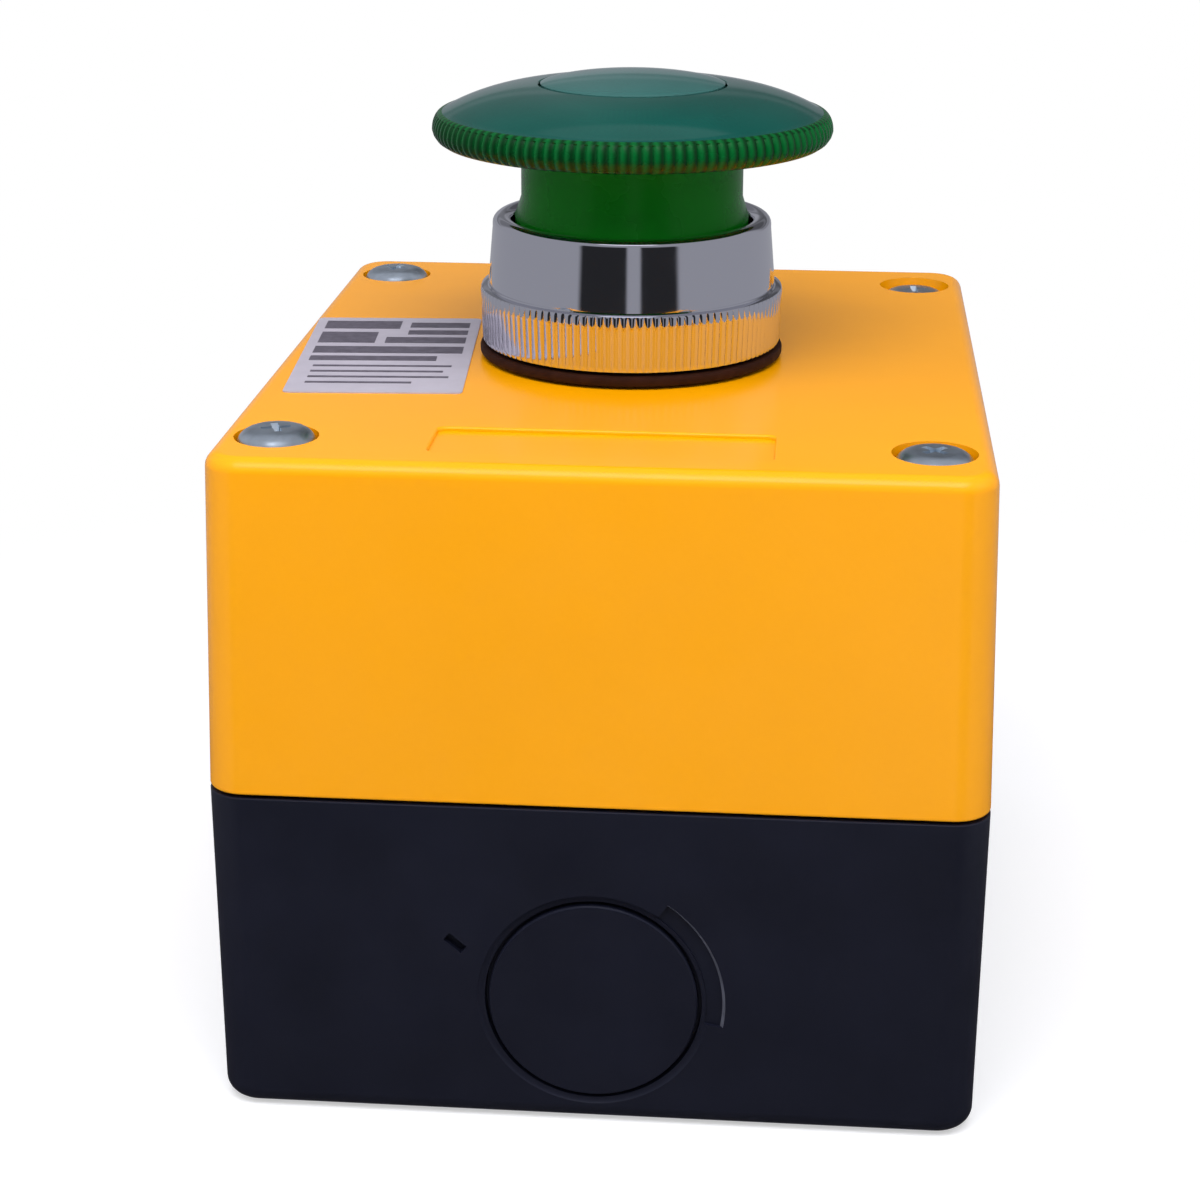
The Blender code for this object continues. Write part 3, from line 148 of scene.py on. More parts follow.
class StationHeadSizes(bpy.types.PropertyGroup):
    radius: length("Radius", "Radius of the mushroom head", 0.020)
    edge_height: length("Edge height", "Height of the ribbed rim", 0.0031)
    edge_round: length("Edge round", "How far the rim's upper edge rounds in", 0.001)
    edge_middle: length("Edge middle", "Height of the rim's widest line", 0.0014)
    undercut: length("Undercut", "How far the rim's lower edge draws in", 0.0005)
    lip: length("Lip", "Width of the rim's flat underside", 0.0008)
    neck: length("Neck", "From the bezel's rim up to the head's foot", 0.0073)
    crown_rise: length("Crown rise", "How far the crown stands above the rim", 0.0029)
    crown_power: FloatProperty(name="Crown power", default=3.6, min=2.0,
                               description="How late the crown falls away to the rim")
    travel: length("Travel", "How far the head presses in", 0.0045)
    skin: length("Skin", "Thickness of the moulded shell", 0.0019)
    fillet: length("Fillet", "Rounding where the stem meets the head", 0.0009)
    stem: length("Stem", "Radius of the stem", 0.01115)
    stem_foot: length("Stem foot", "Radius of the stem's foot inside the bezel", 0.01175)
    stem_bore: length("Stem bore", "Radius of the hollow of the stem", 0.0094)
    disc: length("Disc", "Radius of the raised centre disc", 0.0092)
    disc_edge: length("Disc edge", "Height of the disc's edge", 0.00182)
    disc_groove: length("Disc groove", "Gap round the disc", 0.0002)
    ribs: IntProperty(name="Ribs", description="Ribs round the rim", default=117, min=12)
    rib_depth: length("Rib depth", "Depth of the grooves between the ribs", 0.00022)


class StationColours(bpy.types.PropertyGroup):
    cover: colour("Cover", "Yellow-orange moulded ABS", "#FFA900")
    base: colour("Base", "Blue-black moulded ABS", "#161826")
    # Painted highlight along the score's sloping edge
    painted_score_highlight: colour("Painted edge highlight", "Score's edge in the base's ABS", "#5A5C68")
    # Rim and stem colours hold painted light: a purer green than the crown for the cover's
    # yellow light, brighter on the stem
    rim: colour("Rim", "Green tint of the head's ribbed rim", "#004A1E")
    stem: colour("Stem", "Green tint of the head's stem", "#037F12")
    crown: colour("Crown", "Bluish green tint of the head's thick crown", "#09554C")
    disc: colour("Disc", "Paler green of the disc over its diffuser", "#3B6F6B")
    chrome: colour("Chrome", "Chrome plate", "#D4D4DC")
    zinc_plate: colour("Zinc plate", "Bright zinc plate on steel", "#DCE8F2")
    # The rubber's red-brown warmth is painted reflection of the yellow cover
    rubber: colour("Rubber", "Black rubber", "#2A130B")
    plate: colour("Plate", "Satin foil of the bare plate", "#B5AFBC")
    brass: colour("Brass", "Bright brass", "#D8B36A")
    cast_zinc: colour("Cast zinc", "Die-cast zinc", "#A8A9AC")
    block: colour("Block", "Dark plastic of the contact blocks", "#2C2C2F")
    block_cover: colour("Block cover", "Grey plastic of the blocks' covers", "#4A4B50")
    plunger: colour("Plunger", "Pale plastic of the plungers and the sleeve", "#DDDCD3")
    nickel: colour("Nickel", "Nickel plate of the lamp's base", "#CFCAC0")
    floor: colour("Floor", "Plain pale floor", "#CFCFD2")


def setting(group):
    return getattr(bpy.context.scene, "station_" + group)


# Modelling by hand, in steps

def clear_selection():
    """Leave edit mode and select nothing."""
    if bpy.context.mode != 'OBJECT':
        bpy.ops.object.mode_set(mode='OBJECT')
    bpy.ops.object.select_all(action='DESELECT')


def make_active(piece):
    clear_selection()
    piece.select_set(True)
    bpy.context.view_layer.objects.active = piece


def edit(piece):
    make_active(piece)
    bpy.ops.object.mode_set(mode='EDIT')


def named(name):
    """Name the object that was just added."""
    piece = bpy.context.object
    piece.name = name
    piece.data.name = name
    return piece


def apply_place(piece):
    make_active(piece)
    bpy.ops.object.transform_apply(location=True, rotation=True, scale=True)


def add_box(name, low, high):
    """A box between two corners, with its place in its mesh."""
    clear_selection()
    low, high = Vector(low), Vector(high)
    bpy.ops.mesh.primitive_cube_add(size=1, location=(low + high) / 2, scale=high - low)
    piece = named(name)
    apply_place(piece)
    return piece


def add_bar(name, radius, low, high, at, sides=32):
    """An upright round bar."""
    clear_selection()
    bpy.ops.mesh.primitive_cylinder_add(vertices=sides, radius=radius, depth=high - low,
                                        location=(at[0], at[1], (low + high) / 2))
    piece = named(name)
    apply_place(piece)
    return piece


def pick(kind, test):
    """In edit mode, select only the faces, edges or vertices that pass a test."""
    bpy.ops.mesh.select_mode(type=kind)
    bpy.ops.mesh.select_all(action='DESELECT')
    mesh = bpy.context.edit_object.data
    bm = bmesh.from_edit_mesh(mesh)
    for item in {'VERT': bm.verts, 'EDGE': bm.edges, 'FACE': bm.faces}[kind]:
        if test(item):
            item.select_set(True)
    bm.select_flush_mode()
    bmesh.update_edit_mesh(mesh)


def at_height(item, z, reach=NEAR):
    return all(abs(vert.co.z - z) < reach for vert in item.verts)


def extrude_by(x, y, z):
    bpy.ops.mesh.extrude_region_move(TRANSFORM_OT_translate={"value": (x, y, z)})


def turn(name, section, steps, sweep=math.tau):
    """Draw a section of (radius, height) points, one vertex after another, and spin it round
    the Z axis. A section that starts on the axis ends there too; any other is closed."""
    clear_selection()
    first = section[0]
    bpy.ops.mesh.primitive_plane_add(size=CLEARANCE, location=(first[0], 0, first[1]))
    piece = named(name)
    apply_place(piece)
    edit(piece)
    bpy.ops.mesh.select_mode(type='VERT')
    bpy.ops.mesh.select_all(action='SELECT')
    bpy.ops.mesh.merge(type='CENTER')
    points = list(section[1:])
    if first[0] > 0:
        points.append(first)
    place = first
    for point in points:
        step = (point[0] - place[0], 0, point[1] - place[1])
        bpy.ops.mesh.extrude_vertices_move(TRANSFORM_OT_translate={"value": step})
        place = point
    bpy.ops.mesh.select_all(action='SELECT')
    bpy.ops.mesh.remove_doubles(threshold=NEAR / 2)
    whole = sweep >= math.tau
    if not whole:
        bpy.ops.mesh.edge_face_add()
    bpy.ops.mesh.spin(steps=steps, angle=sweep, center=(0, 0, 0), axis=(0, 0, 1))
    bpy.ops.mesh.select_all(action='SELECT')
    bpy.ops.mesh.remove_doubles(threshold=NEAR / 2)
    bpy.ops.mesh.normals_make_consistent(inside=False)
    clear_selection()
    return piece


def sink_columns(piece, columns, every, sunk, low, high, least, depth):
    """Press some columns of a turned piece in towards its axis, in a band of heights."""
    edit(piece)

    def chosen(vert):
        radius = vert.co.xy.length
        column = round(math.atan2(vert.co.y, vert.co.x) / math.tau * columns) % every
        return column in sunk and radius > least and low < vert.co.z < high

    pick('VERT', chosen)
    shrink = 1 - depth / piece.dimensions.x * 2
    bpy.ops.transform.resize(value=(shrink, shrink, 1), center_override=(0, 0, 0))
    clear_selection()


def combine(piece, tool, operation='DIFFERENCE'):
    """Cut a tool from a piece, or join it to the piece, and remove the tool."""
    make_active(piece)
    step = piece.modifiers.new("combine", 'BOOLEAN')
    step.operation = operation
    step.solver = 'EXACT'
    step.object = tool
    bpy.ops.object.modifier_apply(modifier=step.name)
    bpy.data.objects.remove(tool, do_unlink=True)


def smooth(piece, degrees, weighted=True):
    """Shade the piece smoothly up to an angle, with flat faces kept flat."""
    make_active(piece)
    bpy.ops.object.shade_smooth_by_angle(angle=math.radians(degrees))
    if weighted:
        step = piece.modifiers.new("flat faces", 'WEIGHTED_NORMAL')
        step.keep_sharp = True
        step.weight = 100
        bpy.ops.object.modifier_apply(modifier=step.name)


def place_piece(piece, location=(0, 0, 0), rotation=(0, 0, 0)):
    piece.rotation_euler = rotation
    piece.location = location
    apply_place(piece)


def hand_over(piece, finish, body, slot, *nodes):
    """Give a finished piece its material and its body, and hide the nodes it stands for. The
    slot is not used.
    """
    wear(piece, finish)
    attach(piece, body)
    if nodes:
        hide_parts(*nodes)
    clear_selection()


# Materials

made_finishes = {}


def add(tree, kind, inputs=(), **settings):
    """Add a node with its settings, and set or link its inputs."""
    node = tree.nodes.new("ShaderNode" + kind)
    for key, value in settings.items():
        setattr(node, key, value)
    for key, value in dict(inputs).items():
        if isinstance(value, bpy.types.NodeSocket):
            tree.links.new(value, node.inputs[key])
        else:
            node.inputs[key].default_value = value
    return node


def wear(piece, finish, where=None):
    """Give a piece the material that a finish function makes, made on its first use: all over,
    or only on the faces whose middle passes a test."""
    if finish not in made_finishes:
        made_finishes[finish] = finish()
    if where is None:
        piece.data.materials.clear()
    piece.data.materials.append(made_finishes[finish])
    for face in piece.data.polygons:
        if where is None or where(face.center):
            face.material_index = len(piece.data.materials) - 1


def start_material(name, base, values):
    """A Principled material, its tree and its shader, with plain values set."""
    made = bpy.data.materials.new(name)
    made.use_nodes = True
    tree = made.node_tree
    shader = tree.nodes["Principled BSDF"]
    shader.inputs["Base Color"].default_value = (*base, 1.0)
    for key, value in values.items():
        shader.inputs[key].default_value = value
    return made, tree, shader


def clouds(tree, size, detail=3.0):
    """Soft noise whose lumps are about size metres across."""
    place = add(tree, "TexCoord")
    return add(tree, "TexNoise", {"Vector": place.outputs["Object"], "Scale": 1 / size,
                                  "Detail": detail, "Roughness": 0.5}).outputs["Fac"]


def vary_colour(tree, shader, base, share, size):
    """Let the colour drift a little lighter and darker over lumps of a size."""
    drift = add(tree, "MapRange", {"Value": clouds(tree, size), "From Min": 0.3,
                                   "From Max": 0.7, "To Min": 1 - share, "To Max": 1 + share})
    mixed = add(tree, "VectorMath", {0: base, "Scale": drift.outputs["Result"]},
                operation='SCALE')
    tree.links.new(mixed.outputs["Vector"], shader.inputs["Base Color"])


def vary_roughness(tree, shader, low, high, size, detail=3.0):
    drift = add(tree, "MapRange", {"Value": clouds(tree, size, detail), "From Min": 0.3,
                                   "From Max": 0.7, "To Min": low, "To Max": high})
    tree.links.new(drift.outputs["Result"], shader.inputs["Roughness"])


def grain(tree, shader, size, height, detail=2.0):
    """Raise a fine grain of a size and height, in metres."""
    bump = add(tree, "Bump", {"Height": clouds(tree, size, detail), "Distance": height,
                              "Strength": 1.0})
    tree.links.new(bump.outputs["Normal"], shader.inputs["Normal"])


def cover_abs():
    # ABS from a polished tool: full even colour under a soft gloss, with faint flow clouds
    base = setting("colours").cover
    made, tree, shader = start_material("yellow moulded ABS", base, {"IOR": 1.5})
    vary_colour(tree, shader, base, 0.015, 0.02)
    vary_roughness(tree, shader, 0.2, 0.24, 0.008)
    return made


def base_abs():
    # ABS with a fine eroded grain: blue-black and satin, with a dull even sheen. The real grain
    # is about 0.1 mm and is drawn at 0.35 mm, the finest that shows
    base = setting("colours").base
    made, tree, shader = start_material("blue-black grained ABS", base,
                                        {"IOR": 1.53, "Specular IOR Level": 0.3})
    vary_colour(tree, shader, base, 0.12, 0.009)
    vary_roughness(tree, shader, 0.36, 0.46, 0.004)
    grain(tree, shader, 0.00035, 0.000005)
    return made


def painted_highlight_abs():
    # A painted highlight: the score's sloping edge gets a paler colour for the light it catches,
    # a thin pale line
    base = setting("colours").painted_score_highlight
    made, tree, shader = start_material("ABS with painted highlight", base, {"IOR": 1.53})
    vary_colour(tree, shader, base, 0.3, 0.002)
    vary_roughness(tree, shader, 0.3, 0.4, 0.001)
    return made


def clear_polycarbonate(name, base):
    made, tree, shader = start_material(name, base, {
        "IOR": 1.58, "Transmission Weight": 0.3, "Specular IOR Level": 0.3})
    vary_colour(tree, shader, base, 0.06, 0.006)
    vary_roughness(tree, shader, 0.08, 0.11, 0.005)
    return made


def crown_polycarbonate():
    # Tinted clear polycarbonate, seen through its full depth: deep bluish green under a sharp
    # gloss, which pales to grey where the crown is seen at a low angle
    return clear_polycarbonate("green tinted polycarbonate crown", setting("colours").crown)


def disc_polycarbonate():
    # The same over the white diffuser of the lit head's disc: paler and greyer
    return clear_polycarbonate("green polycarbonate over a diffuser", setting("colours").disc)


def side_polycarbonate():
    # The same polycarbonate on its thin rim and stem, with little gloss. Its colours hold
    # painted light: the rim and stem get a purer green than the crown for the cover's yellow
    # light on them, the stem a brighter green still, and each rib's middle is painted brighter
    # than its groove, as a small lens would gather light, so that fine bright lines run down the
    # rim
    s = setting("head")
    made, tree, shader = start_material("green polycarbonate sides with painted light",
                                        setting("colours").rim, {
        "IOR": 1.58, "Transmission Weight": 0.12, "Specular IOR Level": 0.08})
    place = add(tree, "TexCoord")
    axes = add(tree, "SeparateXYZ", {0: place.outputs["Object"]})
    x, y, z = axes.outputs
    around = add(tree, "Math", {0: x, 1: y}, operation='ARCTAN2')
    # Painted light and shade: each rib's middle is made brighter and its groove darker
    wave = add(tree, "Math", {0: around.outputs[0], 1: s.ribs}, operation='MULTIPLY')
    wave = add(tree, "Math", {0: wave.outputs[0]}, operation='COSINE')
    painted_rib_light = add(tree, "MapRange", {"Value": wave.outputs[0], "From Min": -1.0, "From Max": 1.0,
                                 "To Min": 0.45, "To Max": 1.6})
    rim_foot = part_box("bezel")[1].z + s.neck
    rim = add(tree, "MapRange", {"Value": z, "From Min": rim_foot - s.fillet,
                                 "From Max": rim_foot}, interpolation_type='SMOOTHSTEP')
    rim_with_painted_rib_light = add(tree, "VectorMath", {0: setting("colours").rim, "Scale": painted_rib_light.outputs[0]},
                 operation='SCALE')
    # The stem's brighter green below the rim is painted light
    painted_sides_colour = add(tree, "Mix", {0: rim.outputs[0], 6: (*setting("colours").stem, 1),
                             7: (1, 1, 1, 1)}, data_type='RGBA')
    tree.links.new(rim_with_painted_rib_light.outputs["Vector"], painted_sides_colour.inputs[7])
    tree.links.new(painted_sides_colour.outputs[2], shader.inputs["Base Color"])
    vary_roughness(tree, shader, 0.24, 0.3, 0.005)
    return made


def chrome_plate():
    # Bright chrome on turned metal: mirror sharp, a little cool, with the faintest smears
    base = setting("colours").chrome
    made, tree, shader = start_material("chrome plate", base, {"Metallic": 1.0})
    vary_roughness(tree, shader, 0.04, 0.09, 0.004)
    return made


def zinc_plate():
    # Bright zinc on steel: bluish grey, softly mirroring, with cloudy patches of passivation
    base = setting("colours").zinc_plate
    made, tree, shader = start_material("zinc plated steel", base, {"Metallic": 1.0})
    vary_colour(tree, shader, base, 0.1, 0.0012)
    vary_roughness(tree, shader, 0.3, 0.42, 0.0009)
    grain(tree, shader, 0.0005, 0.000005)
    return made


def moulded_rubber():
    # Moulded rubber: black, matt, with a fine dusty grain; its warm red-brown tint is painted
    # reflection of the yellow cover
    base = setting("colours").rubber
    made, tree, shader = start_material("black moulded rubber", base,
                                        {"IOR": 1.52, "Specular IOR Level": 0.2})
    vary_colour(tree, shader, base, 0.2, 0.0015)
    vary_roughness(tree, shader, 0.62, 0.82, 0.001)
    grain(tree, shader, 0.0003, 0.00001)
    return made


def plate_foil():
    # Satin polyester foil: pale lilac grey with a soft sheen
    base = setting("colours").plate
    made, tree, shader = start_material("satin plate foil", base, {"IOR": 1.5})
    vary_colour(tree, shader, base, 0.04, 0.003)
    vary_roughness(tree, shader, 0.34, 0.48, 0.002)
    return made


def grey_ink():
    # Screen-printed ink: dark warm grey, matt, a little thin and uneven
    base = linear("#5B5662")
    made, tree, shader = start_material("grey printing ink", base, {"IOR": 1.5})
    vary_colour(tree, shader, base, 0.18, 0.0008)
    vary_roughness(tree, shader, 0.45, 0.6, 0.001)
    return made


def cast_zinc():
    # Die-cast zinc: dull grey metal with a slightly pitted skin
    base = setting("colours").cast_zinc
    made, tree, shader = start_material("die-cast zinc", base, {"Metallic": 1.0})
    vary_colour(tree, shader, base, 0.1, 0.003)
    vary_roughness(tree, shader, 0.42, 0.6, 0.0015)
    grain(tree, shader, 0.0006, 0.00002)
    return made


def spring_steel():
    # Drawn and plated spring wire: bright, with a smooth grey gloss
    base = setting("colours").zinc_plate
    made, tree, shader = start_material("plated spring wire", base, {"Metallic": 1.0})
    vary_roughness(tree, shader, 0.22, 0.34, 0.0008)
    return made


def bright_brass():
    # Stamped brass: warm yellow metal with a satin rolled face
    base = setting("colours").brass
    made, tree, shader = start_material("stamped brass", base, {"Metallic": 1.0})
    vary_colour(tree, shader, base, 0.07, 0.002)
    vary_roughness(tree, shader, 0.24, 0.36, 0.001)
    return made


def nickel_plate():
    # Nickel plate: warm silver, softly mirroring
    base = setting("colours").nickel
    made, tree, shader = start_material("nickel plate", base, {"Metallic": 1.0})
    vary_roughness(tree, shader, 0.14, 0.24, 0.0012)
    return made


def dark_polyester():
    return filled_polyester("dark glass-filled polyester", setting("colours").block)


def grey_polyester():
    return filled_polyester("grey glass-filled polyester", setting("colours").block_cover)


def filled_polyester(name, base):
    # Glass-filled polyester: matt and slightly mottled, as contact blocks are
    made, tree, shader = start_material(name, base, {"IOR": 1.56})
    vary_colour(tree, shader, base, 0.1, 0.0015)
    vary_roughness(tree, shader, 0.42, 0.58, 0.0012)
    grain(tree, shader, 0.0003, 0.000008)
    return made


def plunger_acetal():
    # Acetal: milky, waxy white with a soft gloss
    base = setting("colours").plunger
    made, tree, shader = start_material("white acetal", base,
                                        {"IOR": 1.48, "Subsurface Weight": 0.15,
                                         "Subsurface Scale": 0.001})
    vary_colour(tree, shader, base, 0.03, 0.003)
    vary_roughness(tree, shader, 0.34, 0.44, 0.002)
    return made


def lamp_glass():
    # Thin blown glass of the small lamp: clear with a bright edge
    made, tree, shader = start_material("clear lamp glass", linear("#F2F7F2"),
                                        {"IOR": 1.5, "Transmission Weight": 0.95})
    vary_roughness(tree, shader, 0.02, 0.05, 0.002)
    return made


# The housings

def box_outline(name, low, high, corner):
    """A box with rounded upright corners."""
    piece = add_box(name, low, high)
    edit(piece)
    pick('EDGE', lambda edge: abs(edge.verts[0].co.z - edge.verts[1].co.z) > NEAR)
    bpy.ops.mesh.bevel(offset=corner, offset_type='OFFSET', segments=10, affect='EDGES')
    clear_selection()
    return piece


def narrow_end(z, width, depth, draft):
    """In edit mode, draw the face at a height in by the draft on each side."""
    pick('FACE', lambda face: at_height(face, z))
    bpy.ops.transform.resize(value=(1 - 2 * draft / width, 1 - 2 * draft / depth, 1),
                             center_override=(0, 0, z))


def round_end(z, radius):
    """In edit mode, round the edges that bound the face at a height."""
    pick('EDGE', lambda edge: at_height(edge, z))
    bpy.ops.mesh.bevel(offset=radius, offset_type='OFFSET', segments=6, affect='EDGES')


def screw_axis(corner):
    low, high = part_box("cover_screw_" + corner)
    middle = (low + high) / 2
    return middle.x, middle.y


def join_pillar(piece, corner, radius, low, high, outer):
    """Join a screw pillar and the web that ties it to the box's corner."""
    x, y = screw_axis(corner)
    side_x, side_y = CORNERS[corner]
    combine(piece, add_bar("pillar", radius, low, high, (x, y)), 'UNION')
    far_x, far_y = side_x * outer[0], side_y * outer[1]
    step = CLEARANCE / 3
    web = add_box("web", (min(x, far_x), min(y, far_y), low + step),
                  (max(x, far_x), max(y, far_y), high - step))
    combine(piece, web, 'UNION')


def soften(piece, z, offset, inside):
    """Bevel the edges of the holes in a flat face, picked by their place."""
    edit(piece)
    pick('EDGE', lambda edge: at_height(edge, z) and inside(
        (edge.verts[0].co + edge.verts[1].co) / 2))
    bpy.ops.mesh.bevel(offset=offset, offset_type='OFFSET', segments=3, affect='EDGES')
    clear_selection()


class StationCover(bpy.types.Operator):
    """Model the moulded cover with its legend recess, screw wells and inner pillars"""
    bl_idname = "station.cover"
    bl_label = "Cover"

    def execute(self, context):
        s = setting("housing")
        low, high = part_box("cover_housing")
        width, depth = high.x - low.x, high.y - low.y
        seal_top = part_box("cover_gasket")[1].z + CLEARANCE
        underside = high.z - s.top
        piece = box_outline("cover_moulding", (low.x, low.y, low.z), high, s.corner)
        edit(piece)
        narrow_end(high.z, width, depth, s.cover_draft)
        round_end(high.z, s.top_round)
        round_end(low.z, s.rim_edge)
        lip = s.rebate - CLEARANCE
        pick('FACE', lambda face: at_height(face, low.z))
        bpy.ops.mesh.inset(thickness=lip - s.rim_edge)
        extrude_by(0, 0, seal_top - low.z)
        bpy.ops.mesh.inset(thickness=s.wall - lip)
        extrude_by(0, 0, underside - seal_top)
        clear_selection()

        # Pillars hang from the top: full above the seal, slimmer where they pass the base
        pillar_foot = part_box("screw_insert_front_left")[1].z + 2 * CLEARANCE
        web_foot = seal_top + CLEARANCE
        outer = (width / 2 - s.wall + s.tongue / 2, depth / 2 - s.wall + s.tongue / 2)
        for corner in CORNERS:
            join_pillar(piece, corner, s.pillar, web_foot, underside + CLEARANCE, outer)
            slim = add_bar("slim pillar", s.pillar - 2 * CLEARANCE, pillar_foot,
                           web_foot + CLEARANCE, screw_axis(corner))
            combine(piece, slim, 'UNION')
        combine(piece, add_bar("hole", s.panel_hole, underside - CLEARANCE,
                               high.z + CLEARANCE, (0, 0), 96))
        screw = setting("screws")
        for corner in CORNERS:
            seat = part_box("cover_screw_" + corner)[1].z - screw.head_height - CLEARANCE
            at = screw_axis(corner)
            combine(piece, add_bar("well", screw.head_radius + CLEARANCE, seat,
                                   high.z + s.top_round, at, 48))
            combine(piece, add_bar("bore", screw.shank_radius + CLEARANCE,
                                   pillar_foot - CLEARANCE, seat + CLEARANCE, at))
        middle = low.y + s.legend_inset
        half = (s.legend_length / 2, s.legend_width / 2)
        legend = box_outline("legend", (-half[0], middle - half[1], high.z - s.legend_depth),
                             (half[0], middle + half[1], high.z + s.legend_depth),
                             s.legend_depth * 2)
        combine(piece, legend)
        soften(piece, high.z, s.legend_depth * 0.6, lambda place: (
            abs(place.x) < half[0] + NEAR and abs(place.y - middle) < half[1] + NEAR))
        smooth(piece, 32)
        hand_over(piece, cover_abs, "enclosure", "yellow_plastic", "cover_housing")
        return {'FINISHED'}


def knockout_tools(end, outline_y, centre_z):
    """Cutters for a knock-out's groove, its shallow score and its pry slot."""
    k = setting("knockout")
    edge = k.radius + k.groove
    far = edge + k.score
    proud = CLEARANCE * 2

    groove = turn("groove", [(k.radius, -k.groove), (k.radius + k.line * 0.8, -k.groove),
                             (k.radius + k.line, -k.shelf), (edge - k.shelf, -k.shelf * 0.8),
                             (edge, 0), (edge, proud), (k.radius - k.line * 0.4, proud),
                             (k.radius - k.line * 0.3, 0), (k.radius, -k.shelf * 0.5)], 128)
    # Spin turns clockwise, so the score is brought round to where it ends
    score = turn("score", [(edge - CLEARANCE, -k.score_depth),
                           (far - k.score_slope, -k.score_depth), (far, 0), (far, proud),
                           (edge - CLEARANCE, proud)], 32, math.radians(66))
    place_piece(score, rotation=(0, 0, math.radians(56)))
    slot = add_box("slot", (-k.slot_length / 2, -k.slot_width / 2, -2 * k.score_depth),
                   (k.slot_length / 2, k.slot_width / 2, proud))
    angle = math.radians(157)
    reach = far + k.slot_gap
    place_piece(slot, (reach * math.cos(angle), reach * math.sin(angle), 0),
                (0, 0, math.radians(-40)))
    for tool in (groove, score, slot):
        # Z, the tool's axis, turns to point out of the end wall
        place_piece(tool, rotation=(math.pi / 2, 0, 0))
        if end > 0:
            place_piece(tool, rotation=(0, 0, math.pi))
        place_piece(tool, (0, end * outline_y, centre_z))
    return groove, score, slot


class StationBase(bpy.types.Operator):
    """Model the moulded base with its tongue, pillars, knock-outs and fixing slots"""
    bl_idname = "station.base"
    bl_label = "Base"

    def execute(self, context):
        s = setting("housing")
        k = setting("knockout")
        low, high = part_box("base_housing")
        width, depth = high.x - low.x, high.y - low.y
        piece = box_outline("base_moulding", low, (high.x, high.y, SEAM), s.corner)
        edit(piece)
        narrow_end(low.z, width, depth, s.base_draft)
        round_end(low.z, s.foot_round)
        round_end(SEAM, s.rim_edge / 2)
        pick('FACE', lambda face: at_height(face, SEAM))
        bpy.ops.mesh.inset(thickness=s.rebate - s.rim_edge / 2)
        extrude_by(0, 0, high.z - SEAM)
        bpy.ops.mesh.inset(thickness=s.tongue)
        extrude_by(0, 0, s.floor - high.z)
        clear_selection()

        insert_low, insert_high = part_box("screw_insert_front_left")
        pillar_top = insert_high.z + CLEARANCE
        bore = (insert_high.x - insert_low.x) / 2 + CLEARANCE
        screw = setting("screws")
        outer = (width / 2 - s.wall + s.tongue / 2, depth / 2 - s.wall + s.tongue / 2)
        for corner in CORNERS:
            join_pillar(piece, corner, s.pillar, s.floor - CLEARANCE, pillar_top, outer)
            at = screw_axis(corner)
            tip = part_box("cover_screw_" + corner)[0].z - CLEARANCE
            combine(piece, add_bar("insert bore", bore, insert_low.z - CLEARANCE,
                                   pillar_top + CLEARANCE, at))
            combine(piece, add_bar("screw bore", screw.shank_radius + CLEARANCE, tip,
                                   insert_low.z, at))
        knockout_z = k.radius + k.groove + k.foot
        face_y = depth / 2 - s.base_draft * (SEAM - knockout_z) / SEAM
        for end in ENDS.values():
            for tool in knockout_tools(end, face_y, knockout_z):
                combine(piece, tool)
            at = end * (depth / 2 - s.slot_inset)
            half = (s.slot_length / 2, s.slot_width / 2)
            slot = box_outline("fixing_slot", (-half[0], at - half[1], -CLEARANCE),
                               (half[0], at + half[1], s.floor + CLEARANCE),
                               half[1] - CLEARANCE)
            combine(piece, slot)
        smooth(piece, 32)
        hand_over(piece, base_abs, "enclosure", "black_plastic", "base_housing")
        # The score's sloping edge wears the painted highlight
        far = k.radius + k.groove + k.score
        wear(piece, painted_highlight_abs, lambda place: abs(place.y) > depth / 2 - s.wall and (
            far - k.score_slope < math.hypot(place.x, place.z - knockout_z) < far))
        return {'FINISHED'}


# The screws

class StationScrewSizes(bpy.types.PropertyGroup):
    head_radius: length("Head radius", "Radius of the pan head", 0.0036)
    head_height: length("Head height", "Height of the pan head", 0.0022)
    head_edge: length("Head edge", "Height of the head's upright edge", 0.0008)
    head_flat: length("Head flat", "Radius of the head's flat top", 0.0018)
    shank_radius: length("Shank radius", "Radius of the shank", 0.0018)
    point: length("Point", "Chamfer at the screw's tip", 0.0007)
    arm: length("Recess arm", "Reach of each arm of the cross recess", 0.0016)
    arm_width: length("Recess width", "Width of the cross recess's arms", 0.00075)
    recess: length("Recess depth", "Depth of the cross recess", 0.0016)


